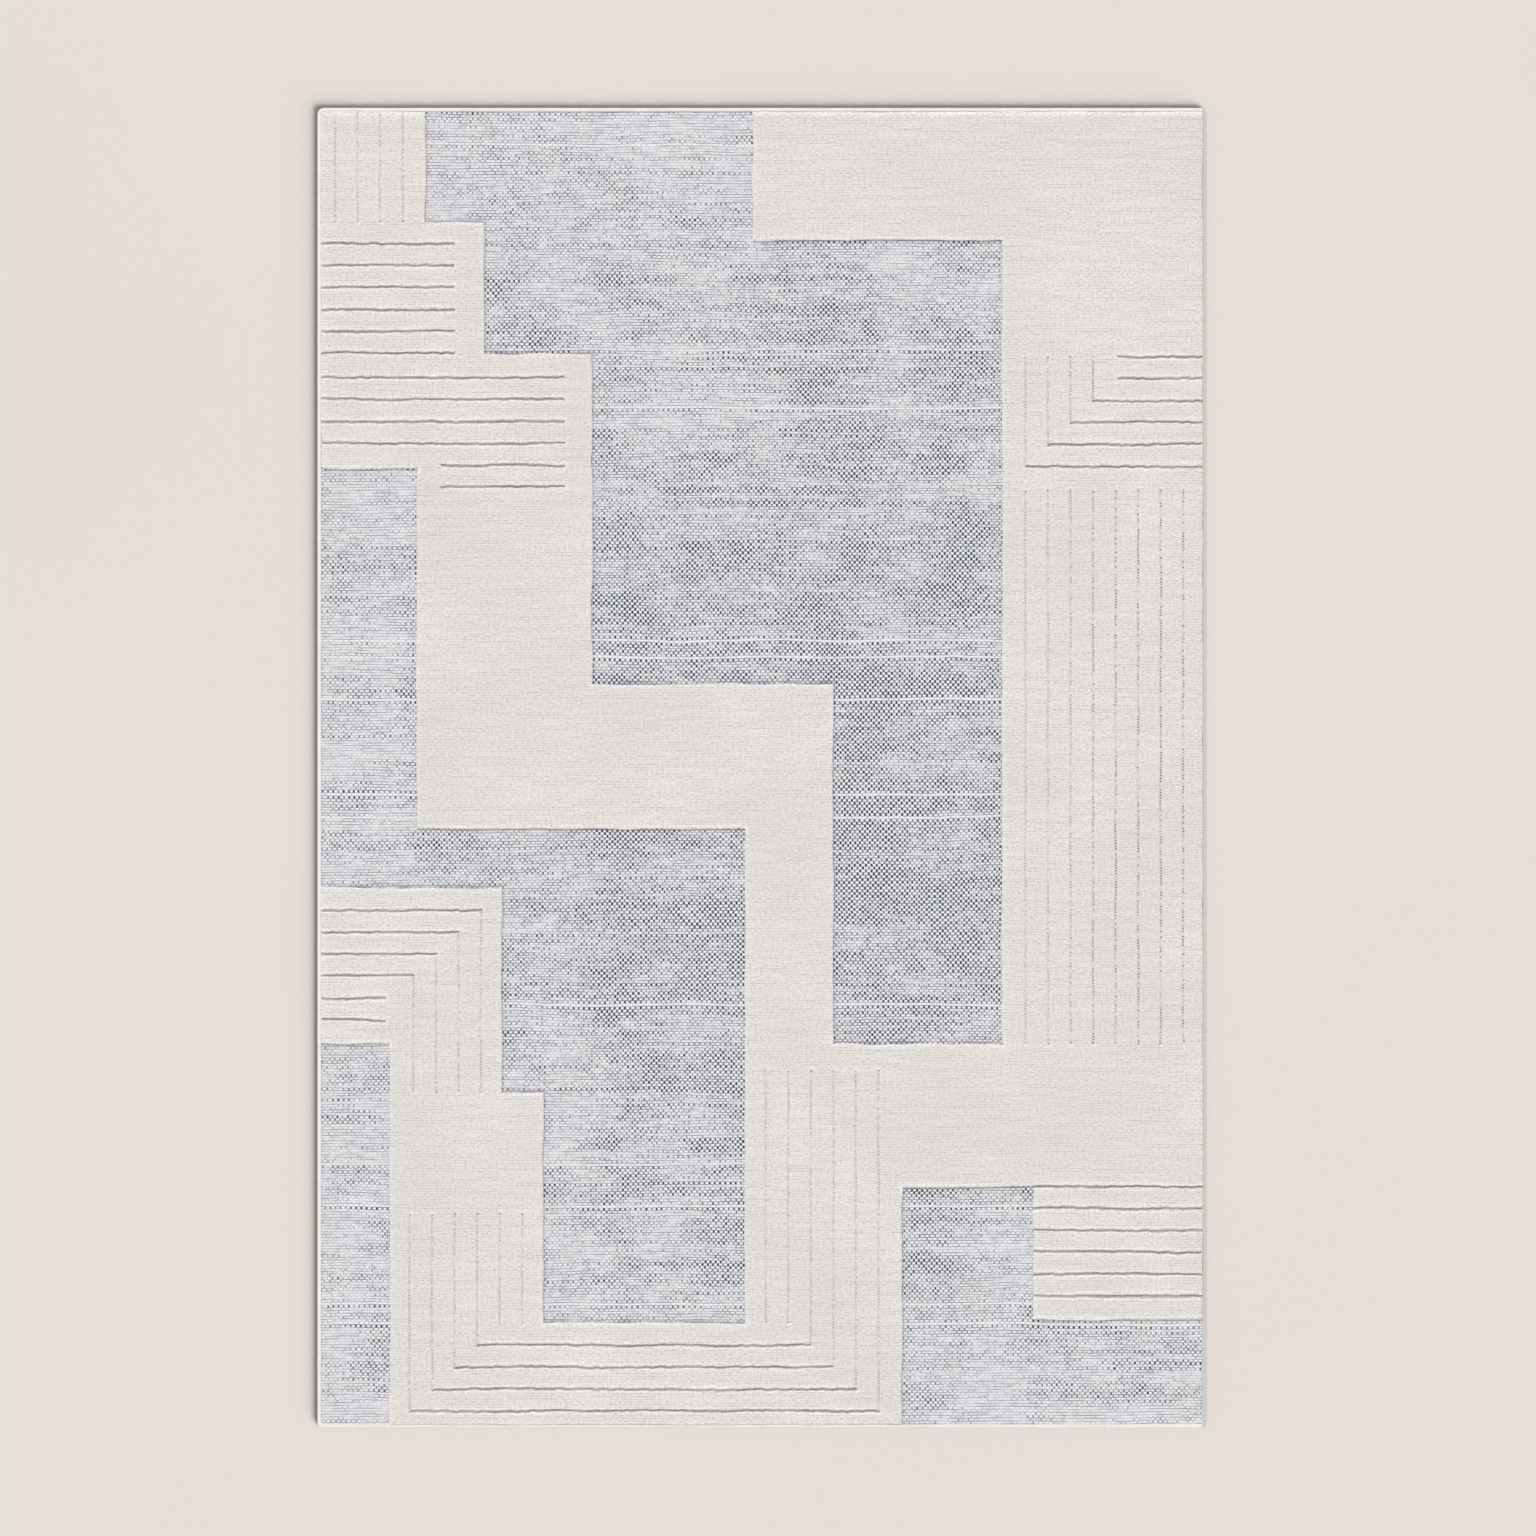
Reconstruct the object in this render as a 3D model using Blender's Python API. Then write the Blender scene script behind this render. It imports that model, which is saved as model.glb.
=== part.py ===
"""High-low area rug: panels of cream cut pile standing on a flat-woven blue-grey ground.

The rug lies flat with its underside on z = 0. X runs across it, +Y runs to its far end and
+Z points up. The origin is under the middle of the rug. All sizes are in metres.

Layers from the floor up: hem tapes round the edge and the backing canvas between them, the
latex coat, the ground weave, the pile. Four bindings wrap the edge of the ground weave.
"""

import math

import bmesh
import bpy

# Overall size, over the bound edges.
WIDTH = 1.600
LENGTH = 2.376
CORNER_RADIUS = 0.012

# Clearance between neighbouring pieces.
GAP = 0.0003

# Thickness of each layer.
TAPE_THICKNESS = 0.0010
CANVAS_THICKNESS = 0.0010
LATEX_THICKNESS = 0.0021
GROUND_THICKNESS = 0.0023
PILE_HEIGHT = 0.0067

# Edge binding: how far it reaches over the cloth, and how thick its yarn lies.
BINDING_WIDTH = 0.0070
BINDING_OUTER_WALL = 0.0025
BINDING_LIP = 0.0021
BINDING_ROUNDING = 0.0020

# Hem tape and the channel that its seam is drawn down into.
TAPE_WIDTH = 0.0400
SEAM_FROM_TAPE_EDGE = 0.0040
SEAM_WIDTH = 0.0008
SEAM_THICKNESS = 0.00025
SEAM_CHANNEL_DEPTH = 0.0005
SEAM_CLEARANCE = 0.0001
SEAM_END = 0.0060

# Grooves carved in the pile: their width, and the pile left standing under them.
GROOVE_WIDTH = 0.0036
GROOVE_FLOOR = 0.0015
PITCH_ACROSS = 0.0405
PITCH_ALONG = 0.0394
CUTTER_OVERSHOOT = 0.0050

# Pattern lines measured from the left edge.
CORNER_FIELD_RIGHT = 0.1305
LEFT_FIELD_COLUMN_RIGHT = 0.1790
UPPER_FIELD_LEFT = 0.1944
UPPER_FIELD_STEP = 0.2997
LEFT_FIELD_INNER = 0.3320
LEFT_FIELD_STEM = 0.4060
UPPER_FIELD_INNER = 0.4941

# Pattern lines measured from the right edge.
LEFT_FIELD_RIGHT = 0.8305
UPPER_FIELD_TOP_RIGHT = 0.8161
UPPER_FIELD_STEM_LEFT = 0.6721
RIGHT_FIELD_LEFT = 0.5480
UPPER_FIELD_RIGHT = 0.3679
RIGHT_BLOCK_LEFT = 0.3120

# Pattern lines measured down from the top edge.
UPPER_FIELD_LEDGE = 0.2060
UPPER_FIELD_BAR_TOP = 0.2385
UPPER_FIELD_SHOULDER = 0.4420
LEFT_FIELD_TOP = 0.6490
RIGHT_PANEL_JOINT = 0.6680

# Pattern lines measured up from the bottom edge.
UPPER_FIELD_BAR_BOTTOM = 1.3400
LEFT_FIELD_BAR_TOP = 1.0790
LEFT_FIELD_BAR_BOTTOM = 0.9730
UPPER_FIELD_BOTTOM = 0.6920
LEFT_FIELD_LEDGE = 0.6040
RIGHT_BLOCK_TOP = 0.4350
RIGHT_BLOCK_BOTTOM = 0.1960
LEFT_FIELD_BOTTOM = 0.1900

# Where each family of grooves starts and stops.
TOP_LEFT_FIRST = 0.0324          # first upright groove, from the left edge
UPPER_LEFT_END = 0.2475          # ends of the upper left grooves, from the left edge
MIDDLE_LEFT_FIRST = 0.0440       # first groove below the shoulder
MIDDLE_LEFT_START = 0.2220       # short grooves, from the left edge
MIDDLE_LEFT_END = 0.4460
RIGHT_FIRST = 0.3255             # leftmost groove at the right, from the right edge
RIGHT_UPPER_FIRST = 0.4484       # highest groove at the right, from the top edge
RIGHT_SHORT_START = 0.1610       # short grooves at the right, from the right edge
RIGHT_COLUMN_START = 0.6894      # upper ends of the long upright grooves, from the top edge
LOWER_LEFT_FIRST = 0.9315        # highest lower left groove, from the bottom edge
LOWER_LEFT_TURN = 0.2952         # its corner, from the left edge
LOWER_LEFT_END = 0.1233          # ends of the short ones, from the left edge
BASIN_FLOOR = 0.1490             # innermost basin groove, from the bottom edge
BASIN_LEFT = 0.2880              # its left leg, from the left edge
BASIN_RIGHT = 0.7117             # its right leg, from the right edge
BASIN_LEFT_TOP = 0.3860          # upper ends of the left legs, from the bottom edge
BASIN_RIGHT_TOP = 0.6435         # upper ends of the right legs, from the bottom edge

# How many grooves each family has.
TOP_LEFT_COUNT = 4
UPPER_LEFT_COUNT = 6
MIDDLE_LEFT_LONG_COUNT = 4
MIDDLE_LEFT_SHORT_COUNT = 2
RIGHT_SHORT_COUNT = 2
RIGHT_TURNING_COUNT = 4
RIGHT_COLUMN_COUNT = 8
LOWER_LEFT_TURNING_COUNT = 4
LOWER_LEFT_SHORT_COUNT = 2
BASIN_COUNT = 4
BASIN_INNER_COUNT = 2
BOTTOM_RIGHT_COUNT = 6

ARC_STEPS = 5
MIN_RADIUS = 0.0005

# Levels that follow from the layers.
CANVAS_TOP = CANVAS_THICKNESS
LATEX_BOTTOM = CANVAS_TOP + GAP
LATEX_TOP = LATEX_BOTTOM + LATEX_THICKNESS
GROUND_BOTTOM = LATEX_TOP + GAP
GROUND_TOP = GROUND_BOTTOM + GROUND_THICKNESS
PILE_BOTTOM = GROUND_TOP + GAP
PILE_TOP = PILE_BOTTOM + PILE_HEIGHT
BINDING_TOP = GROUND_TOP + GAP + BINDING_LIP
TAPE_INSET = BINDING_WIDTH + GAP
CANVAS_STEP_INSET = TAPE_INSET + TAPE_WIDTH + GAP

TOP_RIGHT = (1, 1)
TOP_LEFT = (-1, 1)
BOTTOM_LEFT = (-1, -1)
BOTTOM_RIGHT = (1, -1)


def from_left(distance):
    return distance - WIDTH / 2


def from_right(distance):
    return WIDTH / 2 - distance


def from_top(distance):
    return LENGTH / 2 - distance


def from_bottom(distance):
    return distance - LENGTH / 2


# The pile starts where the binding ends.
PILE_LEFT = from_left(BINDING_WIDTH + GAP)
PILE_RIGHT = from_right(BINDING_WIDTH + GAP)
PILE_FAR = from_top(BINDING_WIDTH + GAP)
PILE_NEAR = from_bottom(BINDING_WIDTH + GAP)


def clear_scene():
    for obj in list(bpy.data.objects):
        bpy.data.objects.remove(obj, do_unlink=True)


def make_material(name, colour, roughness):
    material = bpy.data.materials.new(name)
    material.use_nodes = True
    shader = material.node_tree.nodes["Principled BSDF"]
    shader.inputs["Base Color"].default_value = (*colour, 1.0)
    shader.inputs["Roughness"].default_value = roughness
    shader.inputs["Metallic"].default_value = 0.0
    material.diffuse_color = (*colour, 1.0)
    return material


def add_object(name, bm, material, location=(0, 0, 0)):
    """Make an object from a closed mesh that is given relative to location."""
    bmesh.ops.recalc_face_normals(bm, faces=bm.faces)
    mesh = bpy.data.meshes.new(name)
    bm.to_mesh(mesh)
    bm.free()
    obj = bpy.data.objects.new(name, mesh)
    obj.location = location
    if material:
        mesh.materials.append(material)
    bpy.context.collection.objects.link(obj)
    return obj


def bridge(bm, ring_a, ring_b):
    """Join two closed rings of vertices with quads."""
    count = len(ring_a)
    for i in range(count):
        j = (i + 1) % count
        bm.faces.new((ring_a[i], ring_a[j], ring_b[j], ring_b[i]))


def prism(outlines, bottom, top):
    """A closed mesh with one upright prism for each outline."""
    bm = bmesh.new()
    for outline in outlines:
        low = [bm.verts.new((x, y, bottom)) for x, y in outline]
        high = [bm.verts.new((x, y, top)) for x, y in outline]
        bm.faces.new(low)
        bm.faces.new(high)
        bridge(bm, low, high)
    return bm


# ---- The rug's outline, moved in by any distance ----

def edge_point(inset, corner, angle):
    """A point on the outline moved in by inset; angle goes from 0 on the side to 90 on the end."""
    radius = max(CORNER_RADIUS - inset, MIN_RADIUS)
    x = WIDTH / 2 - inset - radius + radius * math.cos(math.radians(angle))
    y = LENGTH / 2 - inset - radius + radius * math.sin(math.radians(angle))
    return corner[0] * x, corner[1] * y


def corner_stations(corner, start, end):
    """Places round one corner, as (corner, angle) pairs."""
    return [(corner, start + (end - start) * i / ARC_STEPS) for i in range(ARC_STEPS + 1)]


def outline_stations():
    """The whole outline, anticlockwise from the right side."""
    return (
        corner_stations(TOP_RIGHT, 0, 90)
        + corner_stations(TOP_LEFT, 90, 0)
        + corner_stations(BOTTOM_LEFT, 0, 90)
        + corner_stations(BOTTOM_RIGHT, 90, 0)
    )


def add_layer(name, profile, material):
    """A flat layer. profile lists (inset, z) from the rim of its lower face to that of its upper face."""
    bm = bmesh.new()
    rings = []
    for inset, z in profile:
        points = [edge_point(inset, corner, angle) for corner, angle in outline_stations()]
        rings.append([bm.verts.new((x, y, z)) for x, y in points])
    bm.faces.new(rings[0])
    bm.faces.new(rings[-1])
    for lower, upper in zip(rings, rings[1:]):
        bridge(bm, lower, upper)
    return add_object(name, bm, material)


def add_sweep(name, section, stations, shorten, material):
    """Sweep a closed section of (inset, z) points along the edge.

    shorten is how far each end stops short, along X and along Y.
    """
    bm = bmesh.new()
    rings = []
    for corner, angle in stations:
        ring = []
        for inset, z in section:
            x, y = edge_point(inset, corner, angle)
            ring.append(bm.verts.new((x - corner[0] * shorten[0], y - corner[1] * shorten[1], z)))
        rings.append(ring)
    bm.faces.new(rings[0])
    bm.faces.new(rings[-1])
    for near, far in zip(rings, rings[1:]):
        bridge(bm, near, far)
    return add_object(name, bm, material)


# ---- Backing, latex and ground weave ----

def add_canvas(material):
    """The canvas lies on the floor in the middle and steps up over the hem tapes at its rim."""
    rim_bottom = TAPE_THICKNESS + GAP
    rim_top = rim_bottom + CANVAS_THICKNESS
    profile = [
        (CANVAS_STEP_INSET, 0.0),
        (CANVAS_STEP_INSET, rim_bottom),
        (TAPE_INSET, rim_bottom),
        (TAPE_INSET, rim_top),
        (CANVAS_STEP_INSET + CANVAS_THICKNESS, rim_top),
        (CANVAS_STEP_INSET + CANVAS_THICKNESS, CANVAS_TOP),
    ]
    return add_layer("backing_canvas", profile, material)


def add_latex(material):
    """The latex fills the canvas's tray and thins out over its rim."""
    rim_bottom = TAPE_THICKNESS + GAP + CANVAS_THICKNESS + GAP
    step_inset = CANVAS_STEP_INSET + CANVAS_THICKNESS + GAP
    profile = [
        (step_inset, LATEX_BOTTOM),
        (step_inset, rim_bottom),
        (TAPE_INSET, rim_bottom),
        (TAPE_INSET, LATEX_TOP),
    ]
    return add_layer("latex_coat", profile, material)


def add_ground_weave(material):
    """The cloth's edge runs into the slot of the bindings."""
    inset = BINDING_OUTER_WALL + GAP
    return add_layer("ground_weave", [(inset, GROUND_BOTTOM), (inset, GROUND_TOP)], material)


# ---- Bindings, hem tapes and seams ----

def binding_section():
    """A rounded bar with a slot on its inner side for the edge of the cloth."""
    section = []
    for centre_z, start in ((BINDING_ROUNDING, 270), (BINDING_TOP - BINDING_ROUNDING, 180)):
        for i in range(ARC_STEPS):
            angle = math.radians(start - 90 * i / (ARC_STEPS - 1))
            inset = BINDING_ROUNDING + BINDING_ROUNDING * math.cos(angle)
            section.append((inset, centre_z + BINDING_ROUNDING * math.sin(angle)))
    section += [
        (BINDING_WIDTH, BINDING_TOP),
        (BINDING_WIDTH, GROUND_TOP + GAP),
        (BINDING_OUTER_WALL, GROUND_TOP + GAP),
        (BINDING_OUTER_WALL, GROUND_BOTTOM - GAP),
        (BINDING_WIDTH, GROUND_BOTTOM - GAP),
        (BINDING_WIDTH, 0.0),
    ]
    return section


def add_bindings(material):
    """The side bindings carry the rounded corners, and the end bindings run straight between them."""
    section = binding_section()
    right = corner_stations(TOP_RIGHT, 90, 0) + corner_stations(BOTTOM_RIGHT, 0, 90)
    left = corner_stations(TOP_LEFT, 90, 0) + corner_stations(BOTTOM_LEFT, 0, 90)
    top = [(TOP_LEFT, 90), (TOP_RIGHT, 90)]
    bottom = [(BOTTOM_LEFT, 90), (BOTTOM_RIGHT, 90)]
    add_sweep("binding_right", section, right, (0, 0), material)
    add_sweep("binding_left", section, left, (0, 0), material)
    add_sweep("binding_top", section, top, (GAP, 0), material)
    add_sweep("binding_bottom", section, bottom, (GAP, 0), material)


def mitred_runs():
    """For each side: its name, its stations from mitre to mitre, and the axis that it runs along."""
    return [
        ("right", corner_stations(TOP_RIGHT, 45, 0) + corner_stations(BOTTOM_RIGHT, 0, 45), 1),
        ("left", corner_stations(TOP_LEFT, 45, 0) + corner_stations(BOTTOM_LEFT, 0, 45), 1),
        ("top", corner_stations(TOP_LEFT, 45, 90) + corner_stations(TOP_RIGHT, 90, 45), 0),
        ("bottom", corner_stations(BOTTOM_LEFT, 45, 90) + corner_stations(BOTTOM_RIGHT, 90, 45), 0),
    ]


def along(axis, distance):
    return (distance, 0) if axis == 0 else (0, distance)


def seam_inset():
    return TAPE_INSET + TAPE_WIDTH - SEAM_FROM_TAPE_EDGE


def add_hem_tapes(material):
    """Mitred tapes on the floor, each with a channel for its seam in its lower face."""
    outer = TAPE_INSET
    inner = TAPE_INSET + TAPE_WIDTH
    half_channel = SEAM_WIDTH / 2 + SEAM_CLEARANCE
    channel_outer = seam_inset() - half_channel
    channel_inner = seam_inset() + half_channel
    section = [
        (outer, 0.0),
        (channel_outer, 0.0),
        (channel_outer, SEAM_CHANNEL_DEPTH),
        (channel_inner, SEAM_CHANNEL_DEPTH),
        (channel_inner, 0.0),
        (inner, 0.0),
        (inner, TAPE_THICKNESS),
        (outer, TAPE_THICKNESS),
    ]
    for side, stations, axis in mitred_runs():
        add_sweep("hem_tape_" + side, section, stations, along(axis, GAP), material)


def add_hem_seams(material):
    """A line of thread in each tape's channel, clear of the floor."""
    top = SEAM_CHANNEL_DEPTH - SEAM_CLEARANCE
    bottom = top - SEAM_THICKNESS
    outer = seam_inset() - SEAM_WIDTH / 2
    inner = seam_inset() + SEAM_WIDTH / 2
    section = [(outer, bottom), (inner, bottom), (inner, top), (outer, top)]
    for side, stations, axis in mitred_runs():
        add_sweep("hem_seam_" + side, section, stations, along(axis, SEAM_END), material)


# ---- Pile panels ----

def rounded_corner(corner):
    """The panel's corner that lies in the rug's own corner, rounded to follow the binding."""
    steps = corner_stations(corner, 0, 90)
    if corner[0] != corner[1]:
        steps.reverse()
    return [edge_point(BINDING_WIDTH + GAP, place, angle) for place, angle in steps]


def panel_outline(left, right, near, far):
    """A rectangle that stops half a gap inside its pattern lines."""
    left_x = left if left == PILE_LEFT else left + GAP / 2
    right_x = right if right == PILE_RIGHT else right - GAP / 2
    near_y = near if near == PILE_NEAR else near + GAP / 2
    far_y = far if far == PILE_FAR else far - GAP / 2
    outline = []
    for x, y, corner in (
        (right_x, far_y, TOP_RIGHT),
        (left_x, far_y, TOP_LEFT),
        (left_x, near_y, BOTTOM_LEFT),
        (right_x, near_y, BOTTOM_RIGHT),
    ):
        in_rug_corner = x in (PILE_LEFT, PILE_RIGHT) and y in (PILE_NEAR, PILE_FAR)
        outline += rounded_corner(corner) if in_rug_corner else [(x, y)]
    return outline


def pile_panels():
    """Each panel's name and its left, right, near and far lines."""
    shoulder = from_top(UPPER_FIELD_SHOULDER)
    field_bottom = from_bottom(UPPER_FIELD_BOTTOM)
    left_ledge = from_bottom(LEFT_FIELD_LEDGE)
    left_bottom = from_bottom(LEFT_FIELD_BOTTOM)
    stem_left = from_right(UPPER_FIELD_STEM_LEFT)
    column_left = from_right(UPPER_FIELD_RIGHT)
    corner_right = from_left(CORNER_FIELD_RIGHT)
    joint = from_top(RIGHT_PANEL_JOINT)
    return {
        "pile_top_left": (
            PILE_LEFT, from_left(UPPER_FIELD_LEFT), from_top(UPPER_FIELD_LEDGE), PILE_FAR),
        "pile_upper_left": (
            PILE_LEFT, from_left(UPPER_FIELD_STEP), shoulder, from_top(UPPER_FIELD_LEDGE)),
        "pile_middle_left": (
            PILE_LEFT, from_left(UPPER_FIELD_INNER), from_top(LEFT_FIELD_TOP), shoulder),
        "pile_centre_left": (
            from_left(LEFT_FIELD_COLUMN_RIGHT), from_left(UPPER_FIELD_INNER),
            from_bottom(LEFT_FIELD_BAR_TOP), from_top(LEFT_FIELD_TOP)),
        "pile_centre": (
            from_left(UPPER_FIELD_INNER), stem_left,
            from_bottom(LEFT_FIELD_BAR_TOP), from_bottom(UPPER_FIELD_BAR_BOTTOM)),
        "pile_centre_stem": (
            from_right(LEFT_FIELD_RIGHT), stem_left,
            field_bottom, from_bottom(LEFT_FIELD_BAR_TOP)),
        "pile_lower_left": (
            PILE_LEFT, from_left(LEFT_FIELD_INNER),
            field_bottom, from_bottom(LEFT_FIELD_BAR_BOTTOM)),
        "pile_lower_left_foot": (
            corner_right, from_left(LEFT_FIELD_INNER), left_ledge, field_bottom),
        "pile_basin_left": (
            corner_right, from_left(LEFT_FIELD_STEM), left_bottom, left_ledge),
        "pile_basin_floor": (
            corner_right, from_right(RIGHT_FIELD_LEFT), PILE_NEAR, left_bottom),
        "pile_basin_right": (
            from_right(LEFT_FIELD_RIGHT), from_right(RIGHT_FIELD_LEFT),
            left_bottom, field_bottom),
        "pile_lower_right": (
            from_right(RIGHT_FIELD_LEFT), PILE_RIGHT,
            from_bottom(RIGHT_BLOCK_TOP), field_bottom),
        "pile_bottom_right": (
            from_right(RIGHT_BLOCK_LEFT), PILE_RIGHT,
            from_bottom(RIGHT_BLOCK_BOTTOM), from_bottom(RIGHT_BLOCK_TOP)),
        "pile_top_right": (
            from_right(UPPER_FIELD_TOP_RIGHT), PILE_RIGHT,
            from_top(UPPER_FIELD_BAR_TOP), PILE_FAR),
        "pile_upper_right": (
            column_left, PILE_RIGHT, joint, from_top(UPPER_FIELD_BAR_TOP)),
        "pile_right_column": (
            column_left, PILE_RIGHT, field_bottom, joint),
    }


def add_pile_panels(material):
    """One solid for each panel, with its origin in the middle of its lower face."""
    for name, (left, right, near, far) in pile_panels().items():
        centre_x = (left + right) / 2
        centre_y = (near + far) / 2
        outline = [(x - centre_x, y - centre_y) for x, y in panel_outline(left, right, near, far)]
        bm = prism([outline], 0.0, PILE_HEIGHT)
        add_object(name, bm, material, (centre_x, centre_y, PILE_BOTTOM))


# ---- Grooves carved in the pile ----

def channel(points):
    """The outline of a groove along points, which turn by right angles only."""
    half = GROOVE_WIDTH / 2
    normals = []
    for (x0, y0), (x1, y1) in zip(points, points[1:]):
        length = math.hypot(x1 - x0, y1 - y0)
        normals.append(((y0 - y1) / length, (x1 - x0) / length))
    left_side = []
    right_side = []
    for i, (x, y) in enumerate(points):
        beside = {normals[max(i - 1, 0)], normals[min(i, len(normals) - 1)]}
        offset_x = half * sum(normal[0] for normal in beside)
        offset_y = half * sum(normal[1] for normal in beside)
        left_side.append((x + offset_x, y + offset_y))
        right_side.append((x - offset_x, y - offset_y))
    return left_side + right_side[::-1]


def past_left():
    return PILE_LEFT - CUTTER_OVERSHOOT


def past_right():
    return PILE_RIGHT + CUTTER_OVERSHOOT


def top_left_grooves():
    """Upright grooves from the far edge down to the ledge."""
    near = from_top(UPPER_FIELD_LEDGE)
    far = PILE_FAR + CUTTER_OVERSHOOT
    xs = [from_left(TOP_LEFT_FIRST + i * PITCH_ACROSS) for i in range(TOP_LEFT_COUNT)]
    return [channel([(x, near), (x, far)]) for x in xs]


def upper_left_grooves():
    """Level grooves, the lowest of them in line with the shoulder."""
    ys = [from_top(UPPER_FIELD_SHOULDER - i * PITCH_ALONG) for i in range(UPPER_LEFT_COUNT)]
    return [channel([(past_left(), y), (from_left(UPPER_LEFT_END), y)]) for y in ys]


def middle_left_grooves():
    """Level grooves from the left edge, then short ones that start further in."""
    grooves = []
    for i in range(MIDDLE_LEFT_LONG_COUNT + MIDDLE_LEFT_SHORT_COUNT):
        y = from_top(UPPER_FIELD_SHOULDER + MIDDLE_LEFT_FIRST + i * PITCH_ALONG)
        start = past_left() if i < MIDDLE_LEFT_LONG_COUNT else from_left(MIDDLE_LEFT_START)
        grooves.append(channel([(start, y), (from_left(MIDDLE_LEFT_END), y)]))
    return grooves


def upper_right_grooves():
    """Short level grooves over ones that turn up at their left ends, the outermost lowest."""
    top = from_top(RIGHT_UPPER_FIRST)
    lowest = RIGHT_SHORT_COUNT + RIGHT_TURNING_COUNT - 1
    grooves = []
    for i in range(RIGHT_SHORT_COUNT):
        y = top - i * PITCH_ALONG
        grooves.append(channel([(from_right(RIGHT_SHORT_START), y), (past_right(), y)]))
    for i in range(RIGHT_TURNING_COUNT):
        x = from_right(RIGHT_FIRST - i * PITCH_ACROSS)
        y = top - (lowest - i) * PITCH_ALONG
        grooves.append(channel([(x, top), (x, y), (past_right(), y)]))
    return grooves


def right_column_grooves():
    """Long upright grooves."""
    far = from_top(RIGHT_COLUMN_START)
    near = from_bottom(UPPER_FIELD_BOTTOM)
    xs = [from_right(RIGHT_FIRST - i * PITCH_ACROSS) for i in range(RIGHT_COLUMN_COUNT)]
    return [channel([(x, near), (x, far)]) for x in xs]


def lower_left_grooves():
    """Grooves that turn down at their right ends, and short level ones under them."""
    near = from_bottom(LEFT_FIELD_LEDGE)
    grooves = []
    for i in range(LOWER_LEFT_TURNING_COUNT + LOWER_LEFT_SHORT_COUNT):
        y = from_bottom(LOWER_LEFT_FIRST - i * PITCH_ALONG)
        x = from_left(LOWER_LEFT_TURN - i * PITCH_ACROSS)
        if i < LOWER_LEFT_TURNING_COUNT:
            grooves.append(channel([(past_left(), y), (x, y), (x, near)]))
        else:
            grooves.append(channel([(past_left(), y), (from_left(LOWER_LEFT_END), y)]))
    return grooves


def basin_grooves():
    """Nested U-shaped grooves."""
    left_top = from_bottom(BASIN_LEFT_TOP)
    right_top = from_bottom(BASIN_RIGHT_TOP)
    grooves = []
    for i in range(BASIN_COUNT):
        left = from_left(BASIN_LEFT - i * PITCH_ACROSS)
        right = from_right(BASIN_RIGHT - i * PITCH_ACROSS)
        floor = from_bottom(BASIN_FLOOR - i * PITCH_ALONG)
        grooves.append(channel([(left, left_top), (left, floor), (right, floor), (right, right_top)]))
    return grooves


def basin_inner_grooves():
    """The straight grooves inside the basin's legs."""
    stop = from_bottom(LEFT_FIELD_BOTTOM)
    grooves = []
    for i in range(1, BASIN_INNER_COUNT + 1):
        left = from_left(BASIN_LEFT + i * PITCH_ACROSS)
        right = from_right(BASIN_RIGHT + i * PITCH_ACROSS)
        grooves.append(channel([(left, stop), (left, from_bottom(BASIN_LEFT_TOP))]))
        grooves.append(channel([(right, stop), (right, from_bottom(BASIN_RIGHT_TOP))]))
    return grooves


def bottom_right_grooves():
    """Level grooves, the highest of them along the block's upper line."""
    start = from_right(RIGHT_BLOCK_LEFT)
    ys = [from_bottom(RIGHT_BLOCK_TOP - i * PITCH_ALONG) for i in range(BOTTOM_RIGHT_COUNT)]
    return [channel([(start, y), (past_right(), y)]) for y in ys]


def carve_grooves():
    """Cut each family of grooves out of the panels that it crosses."""
    floor = PILE_BOTTOM + GROOVE_FLOOR
    families = [
        ("grooves_top_left", top_left_grooves(), ["pile_top_left"]),
        ("grooves_upper_left", upper_left_grooves(), ["pile_upper_left", "pile_middle_left"]),
        ("grooves_middle_left", middle_left_grooves(), ["pile_middle_left", "pile_centre_left"]),
        ("grooves_upper_right", upper_right_grooves(), ["pile_upper_right"]),
        ("grooves_right_column", right_column_grooves(), ["pile_right_column"]),
        ("grooves_lower_left", lower_left_grooves(), ["pile_lower_left", "pile_lower_left_foot"]),
        ("grooves_basin", basin_grooves(),
         ["pile_basin_left", "pile_basin_floor", "pile_basin_right"]),
        ("grooves_basin_inner", basin_inner_grooves(), ["pile_basin_left", "pile_basin_right"]),
        ("grooves_bottom_right", bottom_right_grooves(), ["pile_lower_right", "pile_bottom_right"]),
    ]
    for name, outlines, panels in families:
        cutter = add_object(name, prism(outlines, floor, PILE_TOP + CUTTER_OVERSHOOT), None)
        cutter.hide_render = True
        cutter.display_type = "WIRE"
        for panel in panels:
            modifier = bpy.data.objects[panel].modifiers.new(name, "BOOLEAN")
            modifier.operation = "DIFFERENCE"
            modifier.solver = "EXACT"
            modifier.object = cutter


def main():
    clear_scene()
    ground = make_material("ground_yarn", (0.55, 0.56, 0.59), 0.90)
    pile = make_material("pile_yarn", (0.76, 0.73, 0.70), 0.95)
    binding = make_material("binding_yarn", (0.74, 0.71, 0.68), 0.85)
    canvas = make_material("cotton_canvas", (0.66, 0.60, 0.50), 0.90)
    latex = make_material("latex", (0.72, 0.70, 0.64), 0.60)
    tape = make_material("cotton_tape", (0.74, 0.70, 0.62), 0.85)
    thread = make_material("seam_thread", (0.50, 0.47, 0.42), 0.70)
    add_hem_tapes(tape)
    add_hem_seams(thread)
    add_canvas(canvas)
    add_latex(latex)
    add_ground_weave(ground)
    add_bindings(binding)
    add_pile_panels(pile)
    carve_grooves()


main()
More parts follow.
